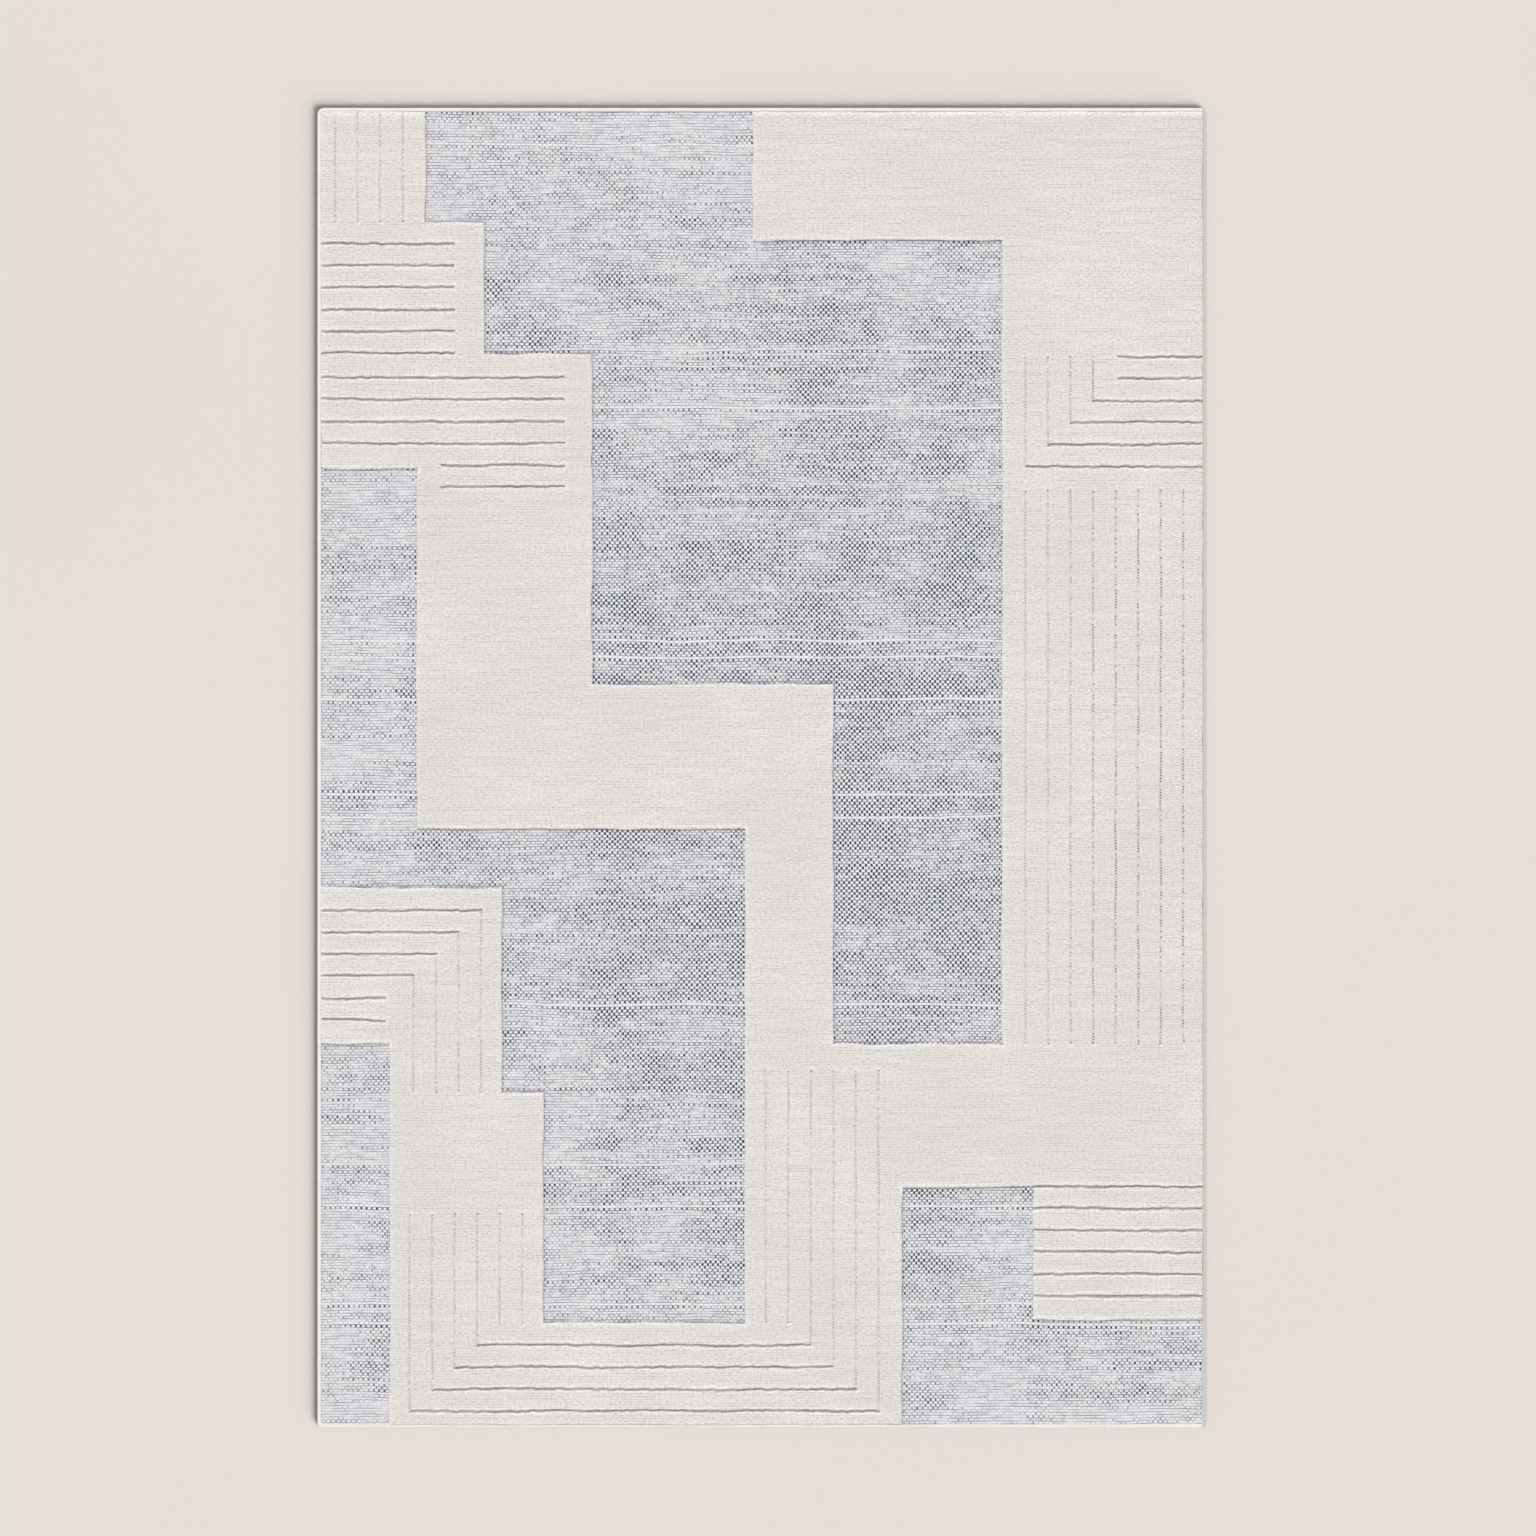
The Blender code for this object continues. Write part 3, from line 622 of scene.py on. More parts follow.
class Graph:
    """A material with a Principled shader, and short calls for the nodes that feed it."""

    def __init__(self, name):
        self.material = bpy.data.materials.new(name)
        self.material.use_nodes = True
        self.tree = self.material.node_tree
        self.shader = self.tree.nodes["Principled BSDF"]

    def put(self, socket, value):
        if isinstance(value, bpy.types.NodeSocket):
            self.tree.links.new(value, socket)
        elif isinstance(value, tuple) and len(value) == 3 and socket.type == "RGBA":
            socket.default_value = (*value, 1.0)
        else:
            socket.default_value = value

    def set(self, name, value):
        self.put(self.shader.inputs[name], value)

    def node(self, kind, inputs=(), **settings):
        """The outputs of a new node, once it is set up and its inputs are fed."""
        node = self.tree.nodes.new("ShaderNode" + kind)
        for key, value in settings.items():
            setattr(node, key, value)
        for key, value in inputs:
            self.put(node.inputs[key], value)
        return node.outputs

    def math(self, operation, a, b=0.0, c=0.0):
        return self.node("Math", enumerate((a, b, c)), operation=operation)[0]

    def add(self, a, b):
        return self.math("ADD", a, b)

    def times(self, a, b):
        return self.math("MULTIPLY", a, b)

    def less(self, a, b):
        return self.math("SUBTRACT", a, b)

    def off_middle(self, value):
        """How far the fraction of value is from one half: 0 in the middle of a yarn, 0.5 between two."""
        return self.math("ABSOLUTE", self.less(self.math("FRACT", value), 0.5))

    def ramp(self, value, low, high, start=0.0, end=1.0):
        """Smoothly from start to end as value goes from low to high."""
        names = ("Value", "From Min", "From Max", "To Min", "To Max")
        inputs = zip(names, (value, low, high, start, end))
        return self.node("MapRange", inputs, interpolation_type="SMOOTHSTEP")["Result"]

    def clamped(self, value):
        """value kept between 0 and 1."""
        return self.node("Clamp", [("Value", value)])[0]

    def mix(self, factor, a, b):
        """A colour from a to b as factor goes from 0 to 1."""
        return self.node("Mix", ((0, factor), (6, a), (7, b)), data_type="RGBA")[2]

    def vector(self, x=0.0, y=0.0, z=0.0):
        return self.node("CombineXYZ", enumerate((x, y, z)))[0]

    def split(self, vector):
        return tuple(self.node("SeparateXYZ", [(0, vector)]))

    def place(self):
        """The point's own place on the rug, in metres."""
        return self.node("TexCoord")["Object"]

    def attribute(self, name, output="Fac"):
        return self.node("Attribute", attribute_name=name)[output]

    def noise(self, vector, scale, detail=2.0, roughness=0.5):
        names = ("Vector", "Scale", "Detail", "Roughness")
        return self.node("TexNoise", zip(names, (vector, scale, detail, roughness)))["Fac"]

    def yarn_noise(self, u, v, per_warp, per_row, detail=2.0, roughness=0.5):
        """Noise that runs along the yarns."""
        stretched = self.vector(self.times(u, per_warp), self.times(v, per_row))
        return self.noise(stretched, 1.0, detail, roughness)

    def random(self, vector):
        return self.node("TexWhiteNoise", [("Vector", vector)])["Value"]

    def bump(self, height, distance, strength=1.0):
        inputs = zip(("Height", "Distance", "Strength"), (height, distance, strength))
        self.set("Normal", self.node("Bump", inputs)[0])


# Colours, as linear red, green and blue.
WARP_PALE = (0.70, 0.705, 0.72)
WARP_SLATE = (0.038, 0.045, 0.092)
WEFT_GREY = (0.808, 0.808, 0.816)
WEFT_CREAM = (0.83, 0.80, 0.755)
WEFT_FLECK = (0.61, 0.63, 0.675)
WEFT_BRIGHT = (0.95, 0.955, 0.97)
WEFT_PLUMP = (0.91, 0.90, 0.88)
PAINTED_SHADE_SLATE = (0.17, 0.18, 0.225)         # painted shade between rows and painted shadow at the foot of the pile
PILE_CREAM = (0.852, 0.814, 0.785)
PILE_GREIGE = (0.785, 0.762, 0.742)
# painted highlight for the pile's rims
PILE_RIM_HIGHLIGHT = (0.960, 0.935, 0.910)
PILE_SHADE = (0.545, 0.515, 0.490)
TAUPE_AND_SHADE_DARK = (0.36, 0.28, 0.215)
TAUPE_AND_SHADE_PALE = (0.66, 0.57, 0.49)
GROOVE_PALE = (0.70, 0.685, 0.665)
GROOVE_SLATE = (0.055, 0.060, 0.080)
SERGING_PALE = (0.90, 0.885, 0.86)
SERGING_WORN = (0.84, 0.82, 0.79)
SERGING_RIGHT_SHADE = (0.62, 0.60, 0.58)
SERGING_HOLLOW_SHADE = (0.36, 0.32, 0.29)
CANVAS_PALE = (0.74, 0.68, 0.57)
CANVAS_DARK = (0.52, 0.46, 0.37)
TAPE_PALE = (0.82, 0.78, 0.70)
TAPE_DARK = (0.64, 0.60, 0.52)
LATEX_PALE = (0.74, 0.72, 0.66)
LATEX_DARK = (0.62, 0.59, 0.52)
THREAD_DARK = (0.46, 0.43, 0.38)
THREAD_PALE = (0.60, 0.57, 0.52)
FLOOR_PALE = (0.355, 0.331, 0.311)
FLOOR_DARK = (0.344, 0.320, 0.300)


def cloth_finish(graph, roughness, sheen):
    graph.set("Roughness", roughness)
    graph.set("Specular IOR Level", 0.15)
    graph.set("Sheen Weight", sheen)
    graph.set("Sheen Roughness", 0.5)


def ground_material():
    """Plain weave of pale heathered weft over thin slate warp, which shows in patches and streaks, with
    painted shade between the rows and a painted shadow beside the pile's upper sides.
    """
    g = Graph("ground_yarn_look")
    u, v, opened = g.split(g.attribute("yarn", "Vector"))
    row = g.math("FLOOR", v)
    swing = g.math("COSINE", g.times(g.add(u, row), math.pi))
    dot_random = g.random(g.vector(g.math("ROUND", u), row))
    dark = g.clamped(g.math("MULTIPLY_ADD", dot_random, 0.60, g.add(opened, -0.34)))
    weft_on_top = g.ramp(g.math("MULTIPLY_ADD", dark, -0.35, swing), -1.0, -0.15)
    warp_colour = g.mix(dark, WARP_PALE, WARP_SLATE)
    float_random = g.random(g.vector(g.math("FLOOR", g.times(g.add(u, row), 0.5)), g.add(row, 0.5)))
    fleck = g.yarn_noise(u, row, 0.45, 5.7)
    fleck = g.math("MULTIPLY_ADD", float_random, 0.30, g.add(fleck, -0.15))
    cream = g.noise(g.place(), 11.0, 2.0)
    pale = g.mix(g.ramp(cream, 0.5, 0.72), WEFT_GREY, WEFT_CREAM)
    weft_colour = g.mix(g.ramp(fleck, 0.35, 0.75), pale, WEFT_FLECK)
    weft_colour = g.mix(g.times(dark, 0.50), weft_colour, WEFT_BRIGHT)
    weft_colour = g.mix(g.times(g.attribute("pale_row"), 0.7), weft_colour, WEFT_PLUMP)
    colour = g.mix(weft_on_top, warp_colour, weft_colour)
    # painted shade in the hollows between the rows, deeper where more warp shows
    row_gap_shade = g.ramp(g.off_middle(v), 0.26, 0.46)
    row_gap_shade_tone = g.yarn_noise(u, g.math("ROUND", v), 0.09, 4.3)
    row_gap_shade_share = g.math("MULTIPLY_ADD", opened, 0.15, g.ramp(row_gap_shade_tone, 0.36, 0.64, 0.24, 0.84))
    colour = g.mix(g.times(row_gap_shade, row_gap_shade_share), colour, PAINTED_SHADE_SLATE)
    # painted shadow on the weave beside the pile's upper sides
    foot_shadow_tone = g.yarn_noise(u, v, 0.12, 0.3)
    foot = g.times(g.attribute("foot"), g.ramp(foot_shadow_tone, 0.3, 0.7, 0.1, 0.58))
    colour = g.mix(foot, colour, PAINTED_SHADE_SLATE)
    g.set("Base Color", colour)
    cloth_finish(g, 0.85, 0.08)
    twist = g.yarn_noise(u, v, 3.2, 2.6, 3.0)
    g.bump(twist, 0.5 * MM, 0.8)
    return g.material


def pile_material():
    """Cream cut pile: faint rows with painted shade between them, patches, rims with a painted highlight,
    level grooves in taupe with painted shade, and speckled upright grooves.
    """
    g = Graph("pile_yarn_look")
    u, v, _ = g.split(g.attribute("yarn", "Vector"))
    carve = g.attribute("carve")
    upright = g.attribute("upright")
    rim = g.attribute("rim")
    level_rim_highlight = g.attribute("level_rim_highlight")
    row = g.math("FLOOR", v)
    patch = g.noise(g.place(), 4.0, 4.0)
    streak = g.yarn_noise(u, v, 0.06, 1.1, 3.0, 0.6)
    fibre = g.yarn_noise(u, v, 1.0, 1.1, 2.0, 0.6)
    # painted shade between the pile's rows, broken up by noise
    pile_row_shade = g.ramp(g.off_middle(v), 0.2, 0.5)
    parting = g.yarn_noise(u, v, 0.05, 0.45)
    thread = g.times(pile_row_shade, g.ramp(parting, 0.3, 0.7))
    band = g.yarn_noise(u, v, 0.016, 0.42)
    # the fibre's own tone and bands, with the painted row shade
    shade = g.add(g.add(g.times(thread, 0.26), fibre), g.times(g.add(band, -0.5), 0.10))
    cream = g.mix(g.ramp(patch, 0.3, 0.7), PILE_CREAM, PILE_GREIGE)
    # painted highlight on the pile's rims and on the lips beside level grooves
    pale = g.add(g.times(rim, 0.2), g.times(level_rim_highlight, 0.8))
    cream = g.mix(pale, cream, PILE_RIM_HIGHLIGHT)
    cream = g.mix(g.ramp(shade, 0.34, 0.92), cream, PILE_SHADE)
    # level grooves: the ground's taupe with painted shade, stronger the deeper the groove, varied by noise
    # along it
    taupe = g.mix(g.ramp(fibre, 0.3, 0.7), TAUPE_AND_SHADE_DARK, TAUPE_AND_SHADE_PALE)
    frayed = g.math("MULTIPLY_ADD", fibre, 0.7, g.add(carve, -0.35))
    groove_shade_noise = g.noise(g.place(), 14.0, 2.0)
    level_groove_shade = g.times(g.ramp(frayed, 0.14, 0.62), g.less(1.0, upright))
    level_groove_shade = g.times(level_groove_shade, g.ramp(groove_shade_noise, 0.38, 0.60, 0.62, 1.0))
    colour = g.mix(g.times(level_groove_shade, 0.9), cream, taupe)
    dot_random = g.random(g.vector(g.math("ROUND", g.times(u, 0.25)), row))
    dot_shape = g.ramp(g.off_middle(v), 0.34, 0.12)
    stretch = g.yarn_noise(u, v, 0.2, 0.07)
    dot = g.times(dot_shape, g.ramp(g.add(g.times(dot_random, 0.5), stretch), 0.55, 0.90))
    bottom = g.mix(dot, GROOVE_PALE, GROOVE_SLATE)
    upright_line = g.times(g.ramp(carve, 0.30, 0.80), upright)
    x, _, _ = g.split(g.place())
    colour = g.mix(g.times(upright_line, g.ramp(x, 0.50, 0.66, 0.48, 0.84)), colour, bottom)
    g.set("Base Color", colour)
    cloth_finish(g, 0.9, 0.25)
    nap = g.yarn_noise(u, v, 2.6, 3.0, 3.0, 0.7)
    g.bump(g.add(g.times(nap, 0.7), g.times(streak, 0.4)), 1.2 * MM, 0.7)
    return g.material


def binding_material():
    """Cream serging yarn, with painted shade between the wraps and along the right-hand edge."""
    g = Graph("binding_yarn_look")
    wrap_hollow_shade = g.attribute("wrap_hollow_shade")
    worn = g.noise(g.place(), 30.0, 3.0)
    fibre = g.noise(g.place(), 900.0, 2.0)
    colour = g.mix(g.ramp(worn, 0.3, 0.7), SERGING_PALE, SERGING_WORN)
    x, _, _ = g.split(g.place())
    # painted shade along the right-hand edge
    colour = g.mix(g.ramp(x, HALF_X - 1.2 * PILE_INSET, HALF_X - PILE_INSET), colour, SERGING_RIGHT_SHADE)
    # painted shade in the hollows between the wraps
    colour = g.mix(g.times(wrap_hollow_shade, 0.6), colour, SERGING_HOLLOW_SHADE)
    g.set("Base Color", colour)
    cloth_finish(g, 0.8, 0.15)
    g.bump(fibre, 0.4 * MM, 0.5)
    return g.material


def woven_cotton_material(name, light, dark, yarns, slant):
    """Plain or twill cotton cloth; yarns is how many lie in a metre."""
    g = Graph(name)
    x, y, _ = g.split(g.place())
    turn = 2 * math.pi * yarns
    along = g.math("SINE", g.times(g.add(x, g.times(y, slant)), turn))
    across = g.math("SINE", g.times(g.add(y, g.times(x, -slant)), turn))
    weave = g.times(along, across)
    slub = g.yarn_noise(x, y, 30.0, 520.0)
    cloud = g.noise(g.place(), 6.0, 3.0)
    tint = g.add(g.times(g.ramp(weave, -1.0, 1.0), 0.40), g.times(slub, 0.3))
    tint = g.add(tint, g.times(cloud, 0.35))
    g.set("Base Color", g.mix(g.ramp(tint, 0.25, 0.85), dark, light))
    cloth_finish(g, 0.9, 0.05)
    g.bump(g.add(weave, slub), 0.25 * MM, 0.6)
    return g.material


def latex_material():
    g = Graph("latex_look")
    blur = g.noise(g.place(), 25.0, 4.0)
    g.set("Base Color", g.mix(blur, LATEX_PALE, LATEX_DARK))
    g.set("Roughness", 0.55)
    g.bump(g.noise(g.place(), 220.0, 2.0), 0.4 * MM, 0.5)
    return g.material


def thread_material():
    g = Graph("seam_thread_look")
    twist = g.noise(g.place(), 1400.0, 1.0)
    g.set("Base Color", g.mix(twist, THREAD_DARK, THREAD_PALE))
    cloth_finish(g, 0.6, 0.1)
    g.bump(twist, 0.2 * MM, 0.6)
    return g.material


def floor_material():
    g = Graph("floor_look")
    drift = g.noise(g.place(), 0.6, 2.0)
    g.set("Base Color", g.mix(drift, FLOOR_PALE, FLOOR_DARK))
    g.set("Roughness", 0.9)
    g.set("Specular IOR Level", 0.1)
    return g.material


# ---------------- ground weave

def spread(start, end, step):
    """Evenly spaced values from start to end, about step apart."""
    return np.linspace(start, end, max(2, round((end - start) / step) + 1))


def make_carrier(material):
    """The whole ground cloth, on which the woven faces of the low fields lie."""
    inset = HALF_X - GROUND_HIGH.x
    x, y = np.meshgrid(spread(GROUND_LOW.x, GROUND_HIGH.x, CLOTH_STEP),
                       spread(GROUND_LOW.y, GROUND_HIGH.y, CLOTH_STEP))
    x, y = follow_corner(x, y, inset)
    z = np.full(x.shape, CARRIER_TOP)
    cloth = closed_grid("ground_cloth", x, y, z, {"yarn": yarn_fact(x, y)}, [(GROUND_LOW.z, 0.0)], material)
    return place(cloth, "ground_weave")


def tuck_under(x, y, rect):
    """Push a field's rim in under the pile and the binding, but not into a bare neighbour."""
    x0, x1, y0, y1 = rect
    rims = (
        (0, x0, -1, x[:, 0], y[:, 0], (y0, y1)),
        (0, x1, 1, x[:, -1], y[:, -1], (y0, y1)),
        (1, y0, -1, y[0], x[0], (x0, x1)),
        (1, y1, 1, y[-1], x[-1], (x0, x1)),
    )
    for axis, line, sign, across, along, (start, end) in rims:
        beyond = line + sign * PROBE
        for i, beside in enumerate(np.clip(along, start + PROBE, end - PROBE)):
            if covered(*on_axis(axis, beyond, beside)) or bordered(axis, line):
                across[i] += sign * TUCK


def make_field(name, rect, material):
    """The woven face of one stretch of bare ground weave."""
    x, y = np.meshgrid(spread(rect[0], rect[1], WEAVE_STEP_X), spread(rect[2], rect[3], WEAVE_STEP_Y))
    tuck_under(x, y, rect)
    x, y = follow_corner(x, y, PILE_INSET - CORNER_TUCK)
    opened = openness(x, y)
    yarn = yarn_fact(x, y, opened)
    facts = {"yarn": yarn, "pale_row": pale_row(np.floor(yarn[..., 1])), "foot": painted_foot_shadow(x, y)}
    z = GROUND_TOP + weave_height(x, y, opened)
    field = closed_grid(name, x, y, z, facts, [(CARRIER_TOP, 0.0)], material)
    return place(field, "ground_weave")


def make_fields(material):
    fields = []
    for rect in low_fields():
        for part in split_field(rect):
            fields.append(make_field(f"woven_field_{len(fields) + 1:02d}", part, material))
    return fields


# ---------------- pile

# Extra grid lines round the walls of the grooves and inside the rim, and the least space between lines.
WALL_OFFSETS = np.array([-2.4, -1.0, 0.0, 1.0, 2.4]) * MM
RIM_OFFSETS = np.array([0.5, 1.1, 1.9, 3.0]) * MM
BAND_SPACING = 0.5 * MM
RIM_SPACING = 0.35 * MM


def thinned(values, start, end, spacing):
    """Drop values that crowd their neighbours, keeping both ends."""
    kept = [start]
    for value in values:
        if value - kept[-1] > spacing and end - value > spacing:
            kept.append(value)
    return np.array(kept + [end])


def lines_with_bands(start, end, step, centres, offsets):
    """Evenly spaced lines, with closer ones round each centre."""
    base = spread(start, end, step)
    reach = max(abs(offset) for offset in offsets)
    keep = [value for value in base
            if value in (start, end) or all(abs(value - c) > reach + step / 3 for c in centres)]
    extra = [c + offset for c in centres for offset in offsets if start < c + offset < end]
    return thinned(sorted(keep + extra), start, end, BAND_SPACING)


def groove_centres(rect, axis):
    """Places across axis where a groove runs through or ends in this panel."""
    x0, x1, y0, y1 = rect
    found = []
    for ax, ay, bx, by in GROOVE_EDGES:
        inside = x0 - JOIN < max(ax, bx) and min(ax, bx) < x1 + JOIN
        inside = inside and y0 - JOIN < max(ay, by) and min(ay, by) < y1 + JOIN
        a, b, other = (ax, bx, abs(ay - by)) if axis == 0 else (ay, by, abs(ax - bx))
        if inside and abs(a - b) < SHORT and other > 0:
            found.append(a)
    return merged(found)


def panel_lines(rect):
    """Grid lines for a panel, closer together at its rim and at the walls of its grooves."""
    x0, x1, y0, y1 = rect
    xs = lines_with_bands(x0, x1, PILE_STEP_X, groove_centres(rect, 0), WALL_OFFSETS)
    ys = lines_with_bands(y0, y1, PILE_STEP_Y, groove_centres(rect, 1), WALL_OFFSETS)
    xs = np.sort(np.concatenate([xs, x0 + RIM_OFFSETS, x1 - RIM_OFFSETS]))
    ys = np.sort(np.concatenate([ys, y0 + RIM_OFFSETS, y1 - RIM_OFFSETS]))
    return thinned(xs, x0, x1, RIM_SPACING), thinned(ys, y0, y1, RIM_SPACING)


# The tufted side of a panel: how far up each level is, how far it stands out, and its seed.
TUFT_WALL = ((0.85, 0.40 * MM, 41), (0.60, 0.60 * MM, 42), (0.30, 0.40 * MM, 43), (0.0, 0.10 * MM, 44))


def make_panel(name, material):
    rect = RECTS[name]
    xs, ys = panel_lines(rect)
    x, y = np.meshgrid(xs, ys)
    moved_x, moved_y, z, facts = pile_surface(x, y)
    moved_x, moved_y = follow_corner(moved_x, moved_y, PILE_INSET)
    ring = grid_ring(len(xs), len(ys))
    rim_x, rim_y, rim_z = (values.ravel()[ring] for values in (x, y, z))
    free = side_distance(rim_x, rim_y)[0] < JOIN / 2
    levels = []
    for share, out, seed in TUFT_WALL:
        ragged = 1 + 0.8 * noise(rim_x / 0.0035, rim_y / 0.0035, seed)
        levels.append((PILE_BASE + share * (rim_z - PILE_BASE), np.where(free, out * ragged, 0.0)))
    panel = closed_grid(name + "_yarn", moved_x, moved_y, z, facts, levels, material)
    return place(panel, name)


# ---------------- edge, back and seams

# The two corners that each side runs between, anticlockwise.
SIDES = {
    "right": ((1, -1), (1, 1)),
    "top": ((1, 1), (-1, 1)),
    "left": ((-1, 1), (-1, -1)),
    "bottom": ((-1, -1), (1, -1)),
}
UPRIGHT_SIDES = ("right", "left")
LAYER_GAP = 0.3 * MM
CORNER_STEPS = 7
WRAP_PITCH = ROW_PITCH / 2
WRAP_HALF_WIDTH = 3.4 * MM
WRAP_SLANT = 0.25          # how far a wrap leans along the edge for each metre that it rises
WRAP_SINK = 0.55 * MM
WRAP_LUMP = 0.12 * MM
BINDING_SQUARENESS = 0.45
BINDING_TOP = BINDING_HIGH.z


def side_points(side, step):
    """Evenly spaced points along one side of the rug's outline.

    Gives positions, the unit directions that point inward, and the length run so far. The
    left and right sides take in the rounded corners.
    """
    turning = np.linspace(90, 0, CORNER_STEPS) if side in UPRIGHT_SIDES else np.array([90.0])
    places = []
    normals = []
    for corner, angles in zip(SIDES[side], (turning, turning[::-1])):
        centre = np.array(corner) * (HALF_X - CORNER_RADIUS, HALF_Y - CORNER_RADIUS)
        for angle in np.radians(angles):
            direction = np.array(corner) * (math.cos(angle), math.sin(angle))
            places.append(centre + direction * CORNER_RADIUS)
            normals.append(-direction)
    places = np.array(places)
    normals = np.array(normals)
    lengths = np.concatenate([[0], np.cumsum(np.hypot(*np.diff(places, axis=0).T))])
    shorten = 0.0 if side in UPRIGHT_SIDES else LAYER_GAP
    count = round((lengths[-1] - 2 * shorten) / step)
    at = np.linspace(shorten, lengths[-1] - shorten, count + 1)
    where = np.stack([np.interp(at, lengths, places[:, i]) for i in (0, 1)], -1)
    inward = np.stack([np.interp(at, lengths, normals[:, i]) for i in (0, 1)], -1)
    return where, inward / np.hypot(*inward.T)[:, None], at


def tube_mesh(name, rings, facts, material):
    """Closed tubes through rings of points, given as tubes by rings by points by three."""
    tubes, stations, around, _ = rings.shape
    index = np.arange(tubes * stations * around).reshape(tubes, stations, around)
    beside = np.roll(index, -1, axis=2)
    quads = np.stack([index[:, :-1], index[:, 1:], beside[:, 1:], beside[:, :-1]], -1).reshape(-1, 4)
    points = rings.reshape(-1, 3)
    ends = np.concatenate([rings[:, 0].mean(1), rings[:, -1].mean(1)])
    first = np.repeat(len(points) + np.arange(tubes), around).reshape(tubes, around)
    caps = np.concatenate([
        np.stack([index[:, 0], beside[:, 0], first], -1).reshape(-1, 3),
        np.stack([beside[:, -1], index[:, -1], first + tubes], -1).reshape(-1, 3),
    ])
    facts = {key: np.concatenate([values.ravel(), np.zeros(len(ends))]) for key, values in facts.items()}
    sharp = np.zeros(len(points) + len(ends), np.int32)
    sharp[index[:, 0]] = NEAR
    sharp[index[:, -1]] = FAR
    return make_mesh(name, np.concatenate([points, ends]), quads, caps, facts, sharp, material)


def squarer(value):
    """A sine or cosine drawn towards its nearest limit, which makes a round section squarer."""
    return math.copysign(abs(value) ** BINDING_SQUARENESS, value)


def binding_profile():
    """The wrapped yarn's section as (inset, height) points, with how much each shows the wraps."""
    width = PILE_INSET - LAYER_GAP
    slot_low = GROUND_LOW.z - LAYER_GAP
    slot_high = GROUND_HIGH.z + LAYER_GAP
    wall = HALF_X - GROUND_HIGH.x - LAYER_GAP
    half = BINDING_TOP / 2
    points = [(width, 0.15 * MM, 0.0)]
    for angle in np.radians(np.linspace(270, 90, 9)):
        inset = WRAP_HALF_WIDTH * (1 + squarer(math.cos(angle)))
        points.append((inset, half + half * squarer(math.sin(angle)), 1.0))
    points += [
        (width * 0.80, BINDING_TOP - 0.1 * MM, 1.0),
        (width, BINDING_TOP - 0.9 * MM, 0.5),
        (width, slot_high, 0.0),
        (wall, slot_high, 0.0),
        (wall, slot_low, 0.0),
        (width, slot_low, 0.0),
    ]
    return np.array(points)


def make_binding(side, material):
    """Yarn wrapped over the edge, wrap by wrap."""
    section = binding_profile()
    middle = np.array([section[:, 0].mean(), BINDING_TOP / 2])
    where, inward, at = side_points(side, WRAP_PITCH / 4)
    inset = section[None, :, 0]
    height = section[None, :, 1]
    show = section[None, :, 2]
    slant = (height - BINDING_TOP / 2) * WRAP_SLANT
    turn = (at[:, None] + slant) / WRAP_PITCH
    wrap = np.abs(np.sin(np.pi * turn))
    pair = 0.75 + 0.25 * np.cos(np.pi * turn)
    uneven = 1 + 0.3 * noise(turn, 3.0, 51)
    sink = WRAP_SINK * show * (1 - np.sqrt(np.clip(wrap, 0, 1))) * pair * uneven
    sink = sink + WRAP_LUMP * show * (1 + noise(at[:, None] / 0.02, height / 0.01, 52))
    toward = middle[None, :] - section[:, :2]
    toward = toward / np.hypot(*toward.T)[:, None]
    inset = inset + sink * toward[None, :, 0]
    height = height + sink * toward[None, :, 1]
    rings = np.empty((len(where), len(section), 3))
    rings[..., :2] = where[:, None, :] + inward[:, None, :] * inset[..., None]
    rings[..., 2] = np.maximum(height, 0)
    # where shade is painted between the wraps
    wrap_hollow_shade = show * smoothstep(0.45, 0.0, wrap) * pair
    piece = tube_mesh("serged_edge_" + side, rings[None], {"wrap_hollow_shade": wrap_hollow_shade}, material)
    return place(piece, "binding_" + side)


SEAM_INSET = HALF_X - sum(corner.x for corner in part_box("hem_seam_right")) / 2
CANVAS_THICKNESS = 0.9 * MM
CANVAS_LUMP = 0.08 * MM
CANVAS_STEP = 0.8 * CLOTH_STEP
TAPE_THICKNESS = 0.62 * MM
TAPE_OFFSETS = np.array([-6.0, -2.5, -1.0, 0.0, 1.0, 2.0]) * MM
CREASE = 0.06 * MM
PUCKER = 0.35 * MM
PUCKER_WIDTH = 1.6 * MM
STITCH = 6.0 * MM
STITCH_GAP = 3.2 * MM
STITCH_PITCH = STITCH + STITCH_GAP
STITCH_RADIUS = 0.36 * MM
STITCH_LOW = 0.40 * MM     # the thread's middle height halfway along a stitch
STITCH_DIVE = 0.35 * MM    # how much higher its ends are, inside the tape
STITCH_WANDER = 0.1 * MM
STITCH_POINTS = 6
SEAM_END = 8 * MM


def make_canvas(material):
    """The backing cloth, which steps up over the tapes and follows the latex's faint lumps."""
    low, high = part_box("backing_canvas")
    tape_low, tape_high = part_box("hem_tape_right")
    step_at = HALF_X - tape_low.x
    rise = tape_high.z + LAYER_GAP
    x, y = np.meshgrid(spread(low.x, high.x, CLOTH_STEP), spread(low.y, high.y, CLOTH_STEP))
    x, y = follow_corner(x, y, PILE_INSET)
    inset = np.minimum(HALF_X - np.abs(x), HALF_Y - np.abs(y))
    under = smoothstep(step_at, step_at + CANVAS_STEP, inset)
    lumps = CANVAS_LUMP * (1 + noise(x / 0.05, y / 0.05, 61))
    bottom = rise * (1 - under) + lumps * under
    return two_sided("canvas_back", x, y, bottom, CANVAS_THICKNESS, material)


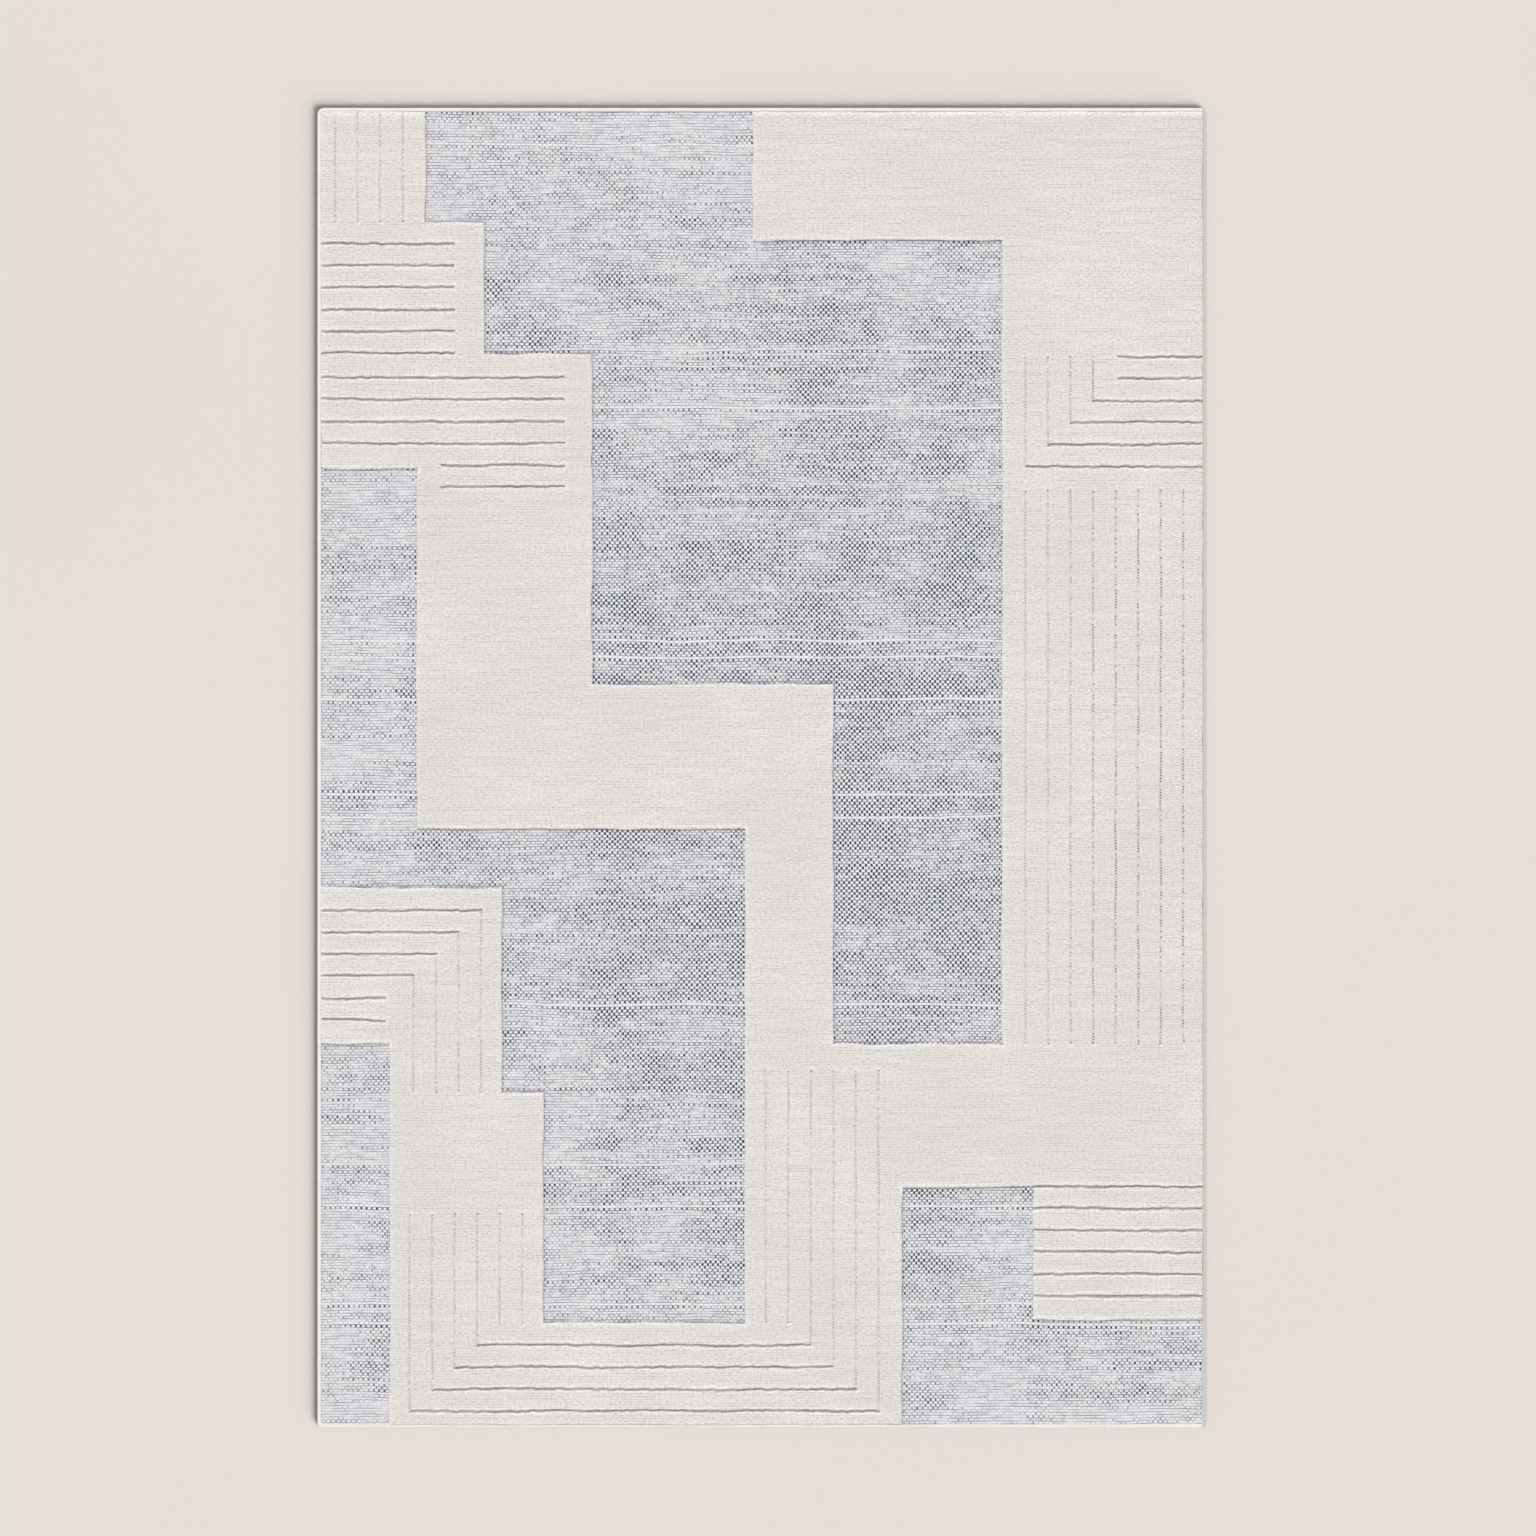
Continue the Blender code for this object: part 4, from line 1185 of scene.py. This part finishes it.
def two_sided(name, x, y, bottom, thickness, material):
    """A closed cloth with a grid on both faces."""
    ny, nx = x.shape
    upper = np.stack([x.ravel(), y.ravel(), (bottom + thickness).ravel()], -1)
    lower = np.stack([x.ravel(), y.ravel(), bottom.ravel()], -1)
    quads = grid_quads(nx, ny)
    ring = grid_ring(nx, ny)
    count = len(upper)
    walls = np.stack([ring, ring + count, np.roll(ring, -1) + count, np.roll(ring, -1)], -1)
    flags = side_flags(nx, ny)
    return make_mesh(name, np.concatenate([upper, lower]),
                     np.concatenate([quads, quads[:, ::-1] + count, walls]),
                     np.empty((0, 3), int), {}, np.concatenate([flags, flags]), material)


def side_frame(side):
    """The axis across a side, the side's sign on that axis, and the half sizes across and along."""
    across = 0 if side in UPRIGHT_SIDES else 1
    sign = 1 if side in ("right", "top") else -1
    return across, sign, *on_axis(across, HALF_X, HALF_Y)


def make_tape(side, material):
    """Hem tape with mitred ends, puckered along its seam."""
    low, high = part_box("hem_tape_" + side)
    across, sign, half_across, half_along = side_frame(side)
    inner = PILE_INSET + high[across] - low[across]
    insets = np.array([PILE_INSET, PILE_INSET + 3 * MM, *(SEAM_INSET + TAPE_OFFSETS), inner - 0.4 * MM])
    share = spread(-1, 1, STITCH_PITCH / 3 / half_along)
    along = share[:, None] * (half_along - insets - LAYER_GAP)
    edge = np.broadcast_to(sign * (half_across - insets), along.shape)
    pucker = PUCKER * np.exp(-((insets - SEAM_INSET) / PUCKER_WIDTH) ** 2)
    beat = 0.75 + 0.25 * np.cos(2 * np.pi * along / STITCH_PITCH)
    crease = CREASE * (1 + noise(along / 0.02, insets / 0.01, 71))
    bottom = pucker * beat + crease
    x, y = on_axis(across, edge, along)
    if side in ("right", "bottom"):
        x, y, bottom = x[:, ::-1], y[:, ::-1], bottom[:, ::-1]
    x, y = follow_corner(x, y, PILE_INSET)
    tape = two_sided("hem_tape_" + side + "_cloth", x, y, bottom, TAPE_THICKNESS, material)
    return place(tape, "hem_tape_" + side)


def make_seam(side, material):
    """Running stitches, each a short plump thread that dives into the tape at both ends."""
    across, sign, half_across, half_along = side_frame(side)
    half = half_along - SEAM_INSET - SEAM_END
    starts = np.arange(-half, half - STITCH, STITCH_PITCH)[:, None, None]
    steps = np.linspace(0, 1, STITCH_POINTS)[None, :, None]
    turns = np.linspace(0, 2 * np.pi, STITCH_POINTS, endpoint=False) * (1 if across == 0 else -1)
    bow = (2 * steps - 1) ** 2
    radius = STITCH_RADIUS * np.sqrt(np.clip(1.08 - bow, 0, 1))
    line = sign * (half_across - SEAM_INSET) + STITCH_WANDER * noise(starts / 0.01, 0.5, 72)
    beside = line + np.cos(turns) * radius
    lift = np.broadcast_to(STITCH_LOW + STITCH_DIVE * bow + np.sin(turns) * radius, beside.shape)
    run = np.broadcast_to(starts + steps * STITCH, beside.shape)
    rings = np.stack([*on_axis(across, beside, run), lift], -1)
    seam = tube_mesh("hem_stitches_" + side, rings, {}, material)
    return place(seam, "hem_seam_" + side)


# ---------------- stage

PIXEL = 1.8 * MM           # size of one picture element on the rug
FRAME_SIDE = 1536 * PIXEL
CAMERA_HEIGHT = 20.0
OFFSET_X = 6 * PIXEL       # the rug lies a little left of the middle of the picture


def make_camera():
    data = bpy.data.cameras.new("camera")
    data.sensor_width = 36.0
    data.lens = data.sensor_width * CAMERA_HEIGHT / FRAME_SIDE
    data.clip_end = 200.0
    camera = bpy.data.objects.new("camera", data)
    camera.location = (OFFSET_X, 0.0, CAMERA_HEIGHT)
    bpy.context.scene.collection.objects.link(camera)
    bpy.context.scene.camera = camera


def make_sun(name, floor, link_state, energy, tilt, turn, angle):
    """A soft sun that leaves the floor out, or lights only the floor. Angles are in degrees."""
    data = bpy.data.lights.new(name, "SUN")
    data.energy = energy
    data.angle = math.radians(angle)
    sun = bpy.data.objects.new(name, data)
    sun.rotation_euler = (math.radians(tilt), 0, math.radians(turn))
    bpy.context.scene.collection.objects.link(sun)
    receivers = bpy.data.collections.new(name + "_receivers")
    receivers.objects.link(floor)
    sun.light_linking.receiver_collection = receivers
    receivers.collection_objects[0].light_linking.link_state = link_state


def make_light(floor):
    """Even pale light with a weak key from the upper left, and a low sun for the shadow on the floor."""
    make_sun("key", floor, "EXCLUDE", energy=1.29, tilt=-38, turn=25, angle=30)
    make_sun("floor_sun", floor, "INCLUDE", energy=11.0, tilt=64, turn=47, angle=42)
    world = bpy.data.worlds.new("surround")
    world.use_nodes = True
    background = world.node_tree.nodes["Background"]
    background.inputs["Color"].default_value = (1.0, 0.995, 0.99, 1.0)
    background.inputs["Strength"].default_value = 0.72
    bpy.context.scene.world = world
    bpy.context.scene.view_settings.view_transform = "Standard"


def make_floor():
    bpy.ops.mesh.primitive_plane_add(size=120, location=(0, 0, -0.2 * MM))
    floor = bpy.context.object
    floor.name = "floor"
    floor.data.materials.append(floor_material())
    return floor


# ---------------- assembly

def main():
    make_camera()
    make_light(make_floor())
    ground = ground_material()
    pile = pile_material()
    binding = binding_material()
    canvas = woven_cotton_material("cotton_canvas_look", CANVAS_PALE, CANVAS_DARK, 420, 0.0)
    tape = woven_cotton_material("cotton_tape_look", TAPE_PALE, TAPE_DARK, 520, 0.5)
    thread = thread_material()

    cloth = make_carrier(ground)
    fields = make_fields(ground)
    panels = [make_panel(name, pile) for name in PANELS]
    edges = [make_binding(side, binding) for side in SIDES]
    back = place(make_canvas(canvas), "backing_canvas")
    tapes = [make_tape(side, tape) for side in SIDES]
    seams = [make_seam(side, thread) for side in SIDES]
    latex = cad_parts["latex_coat"]
    latex.data.materials.clear()
    latex.data.materials.append(latex_material())


main()
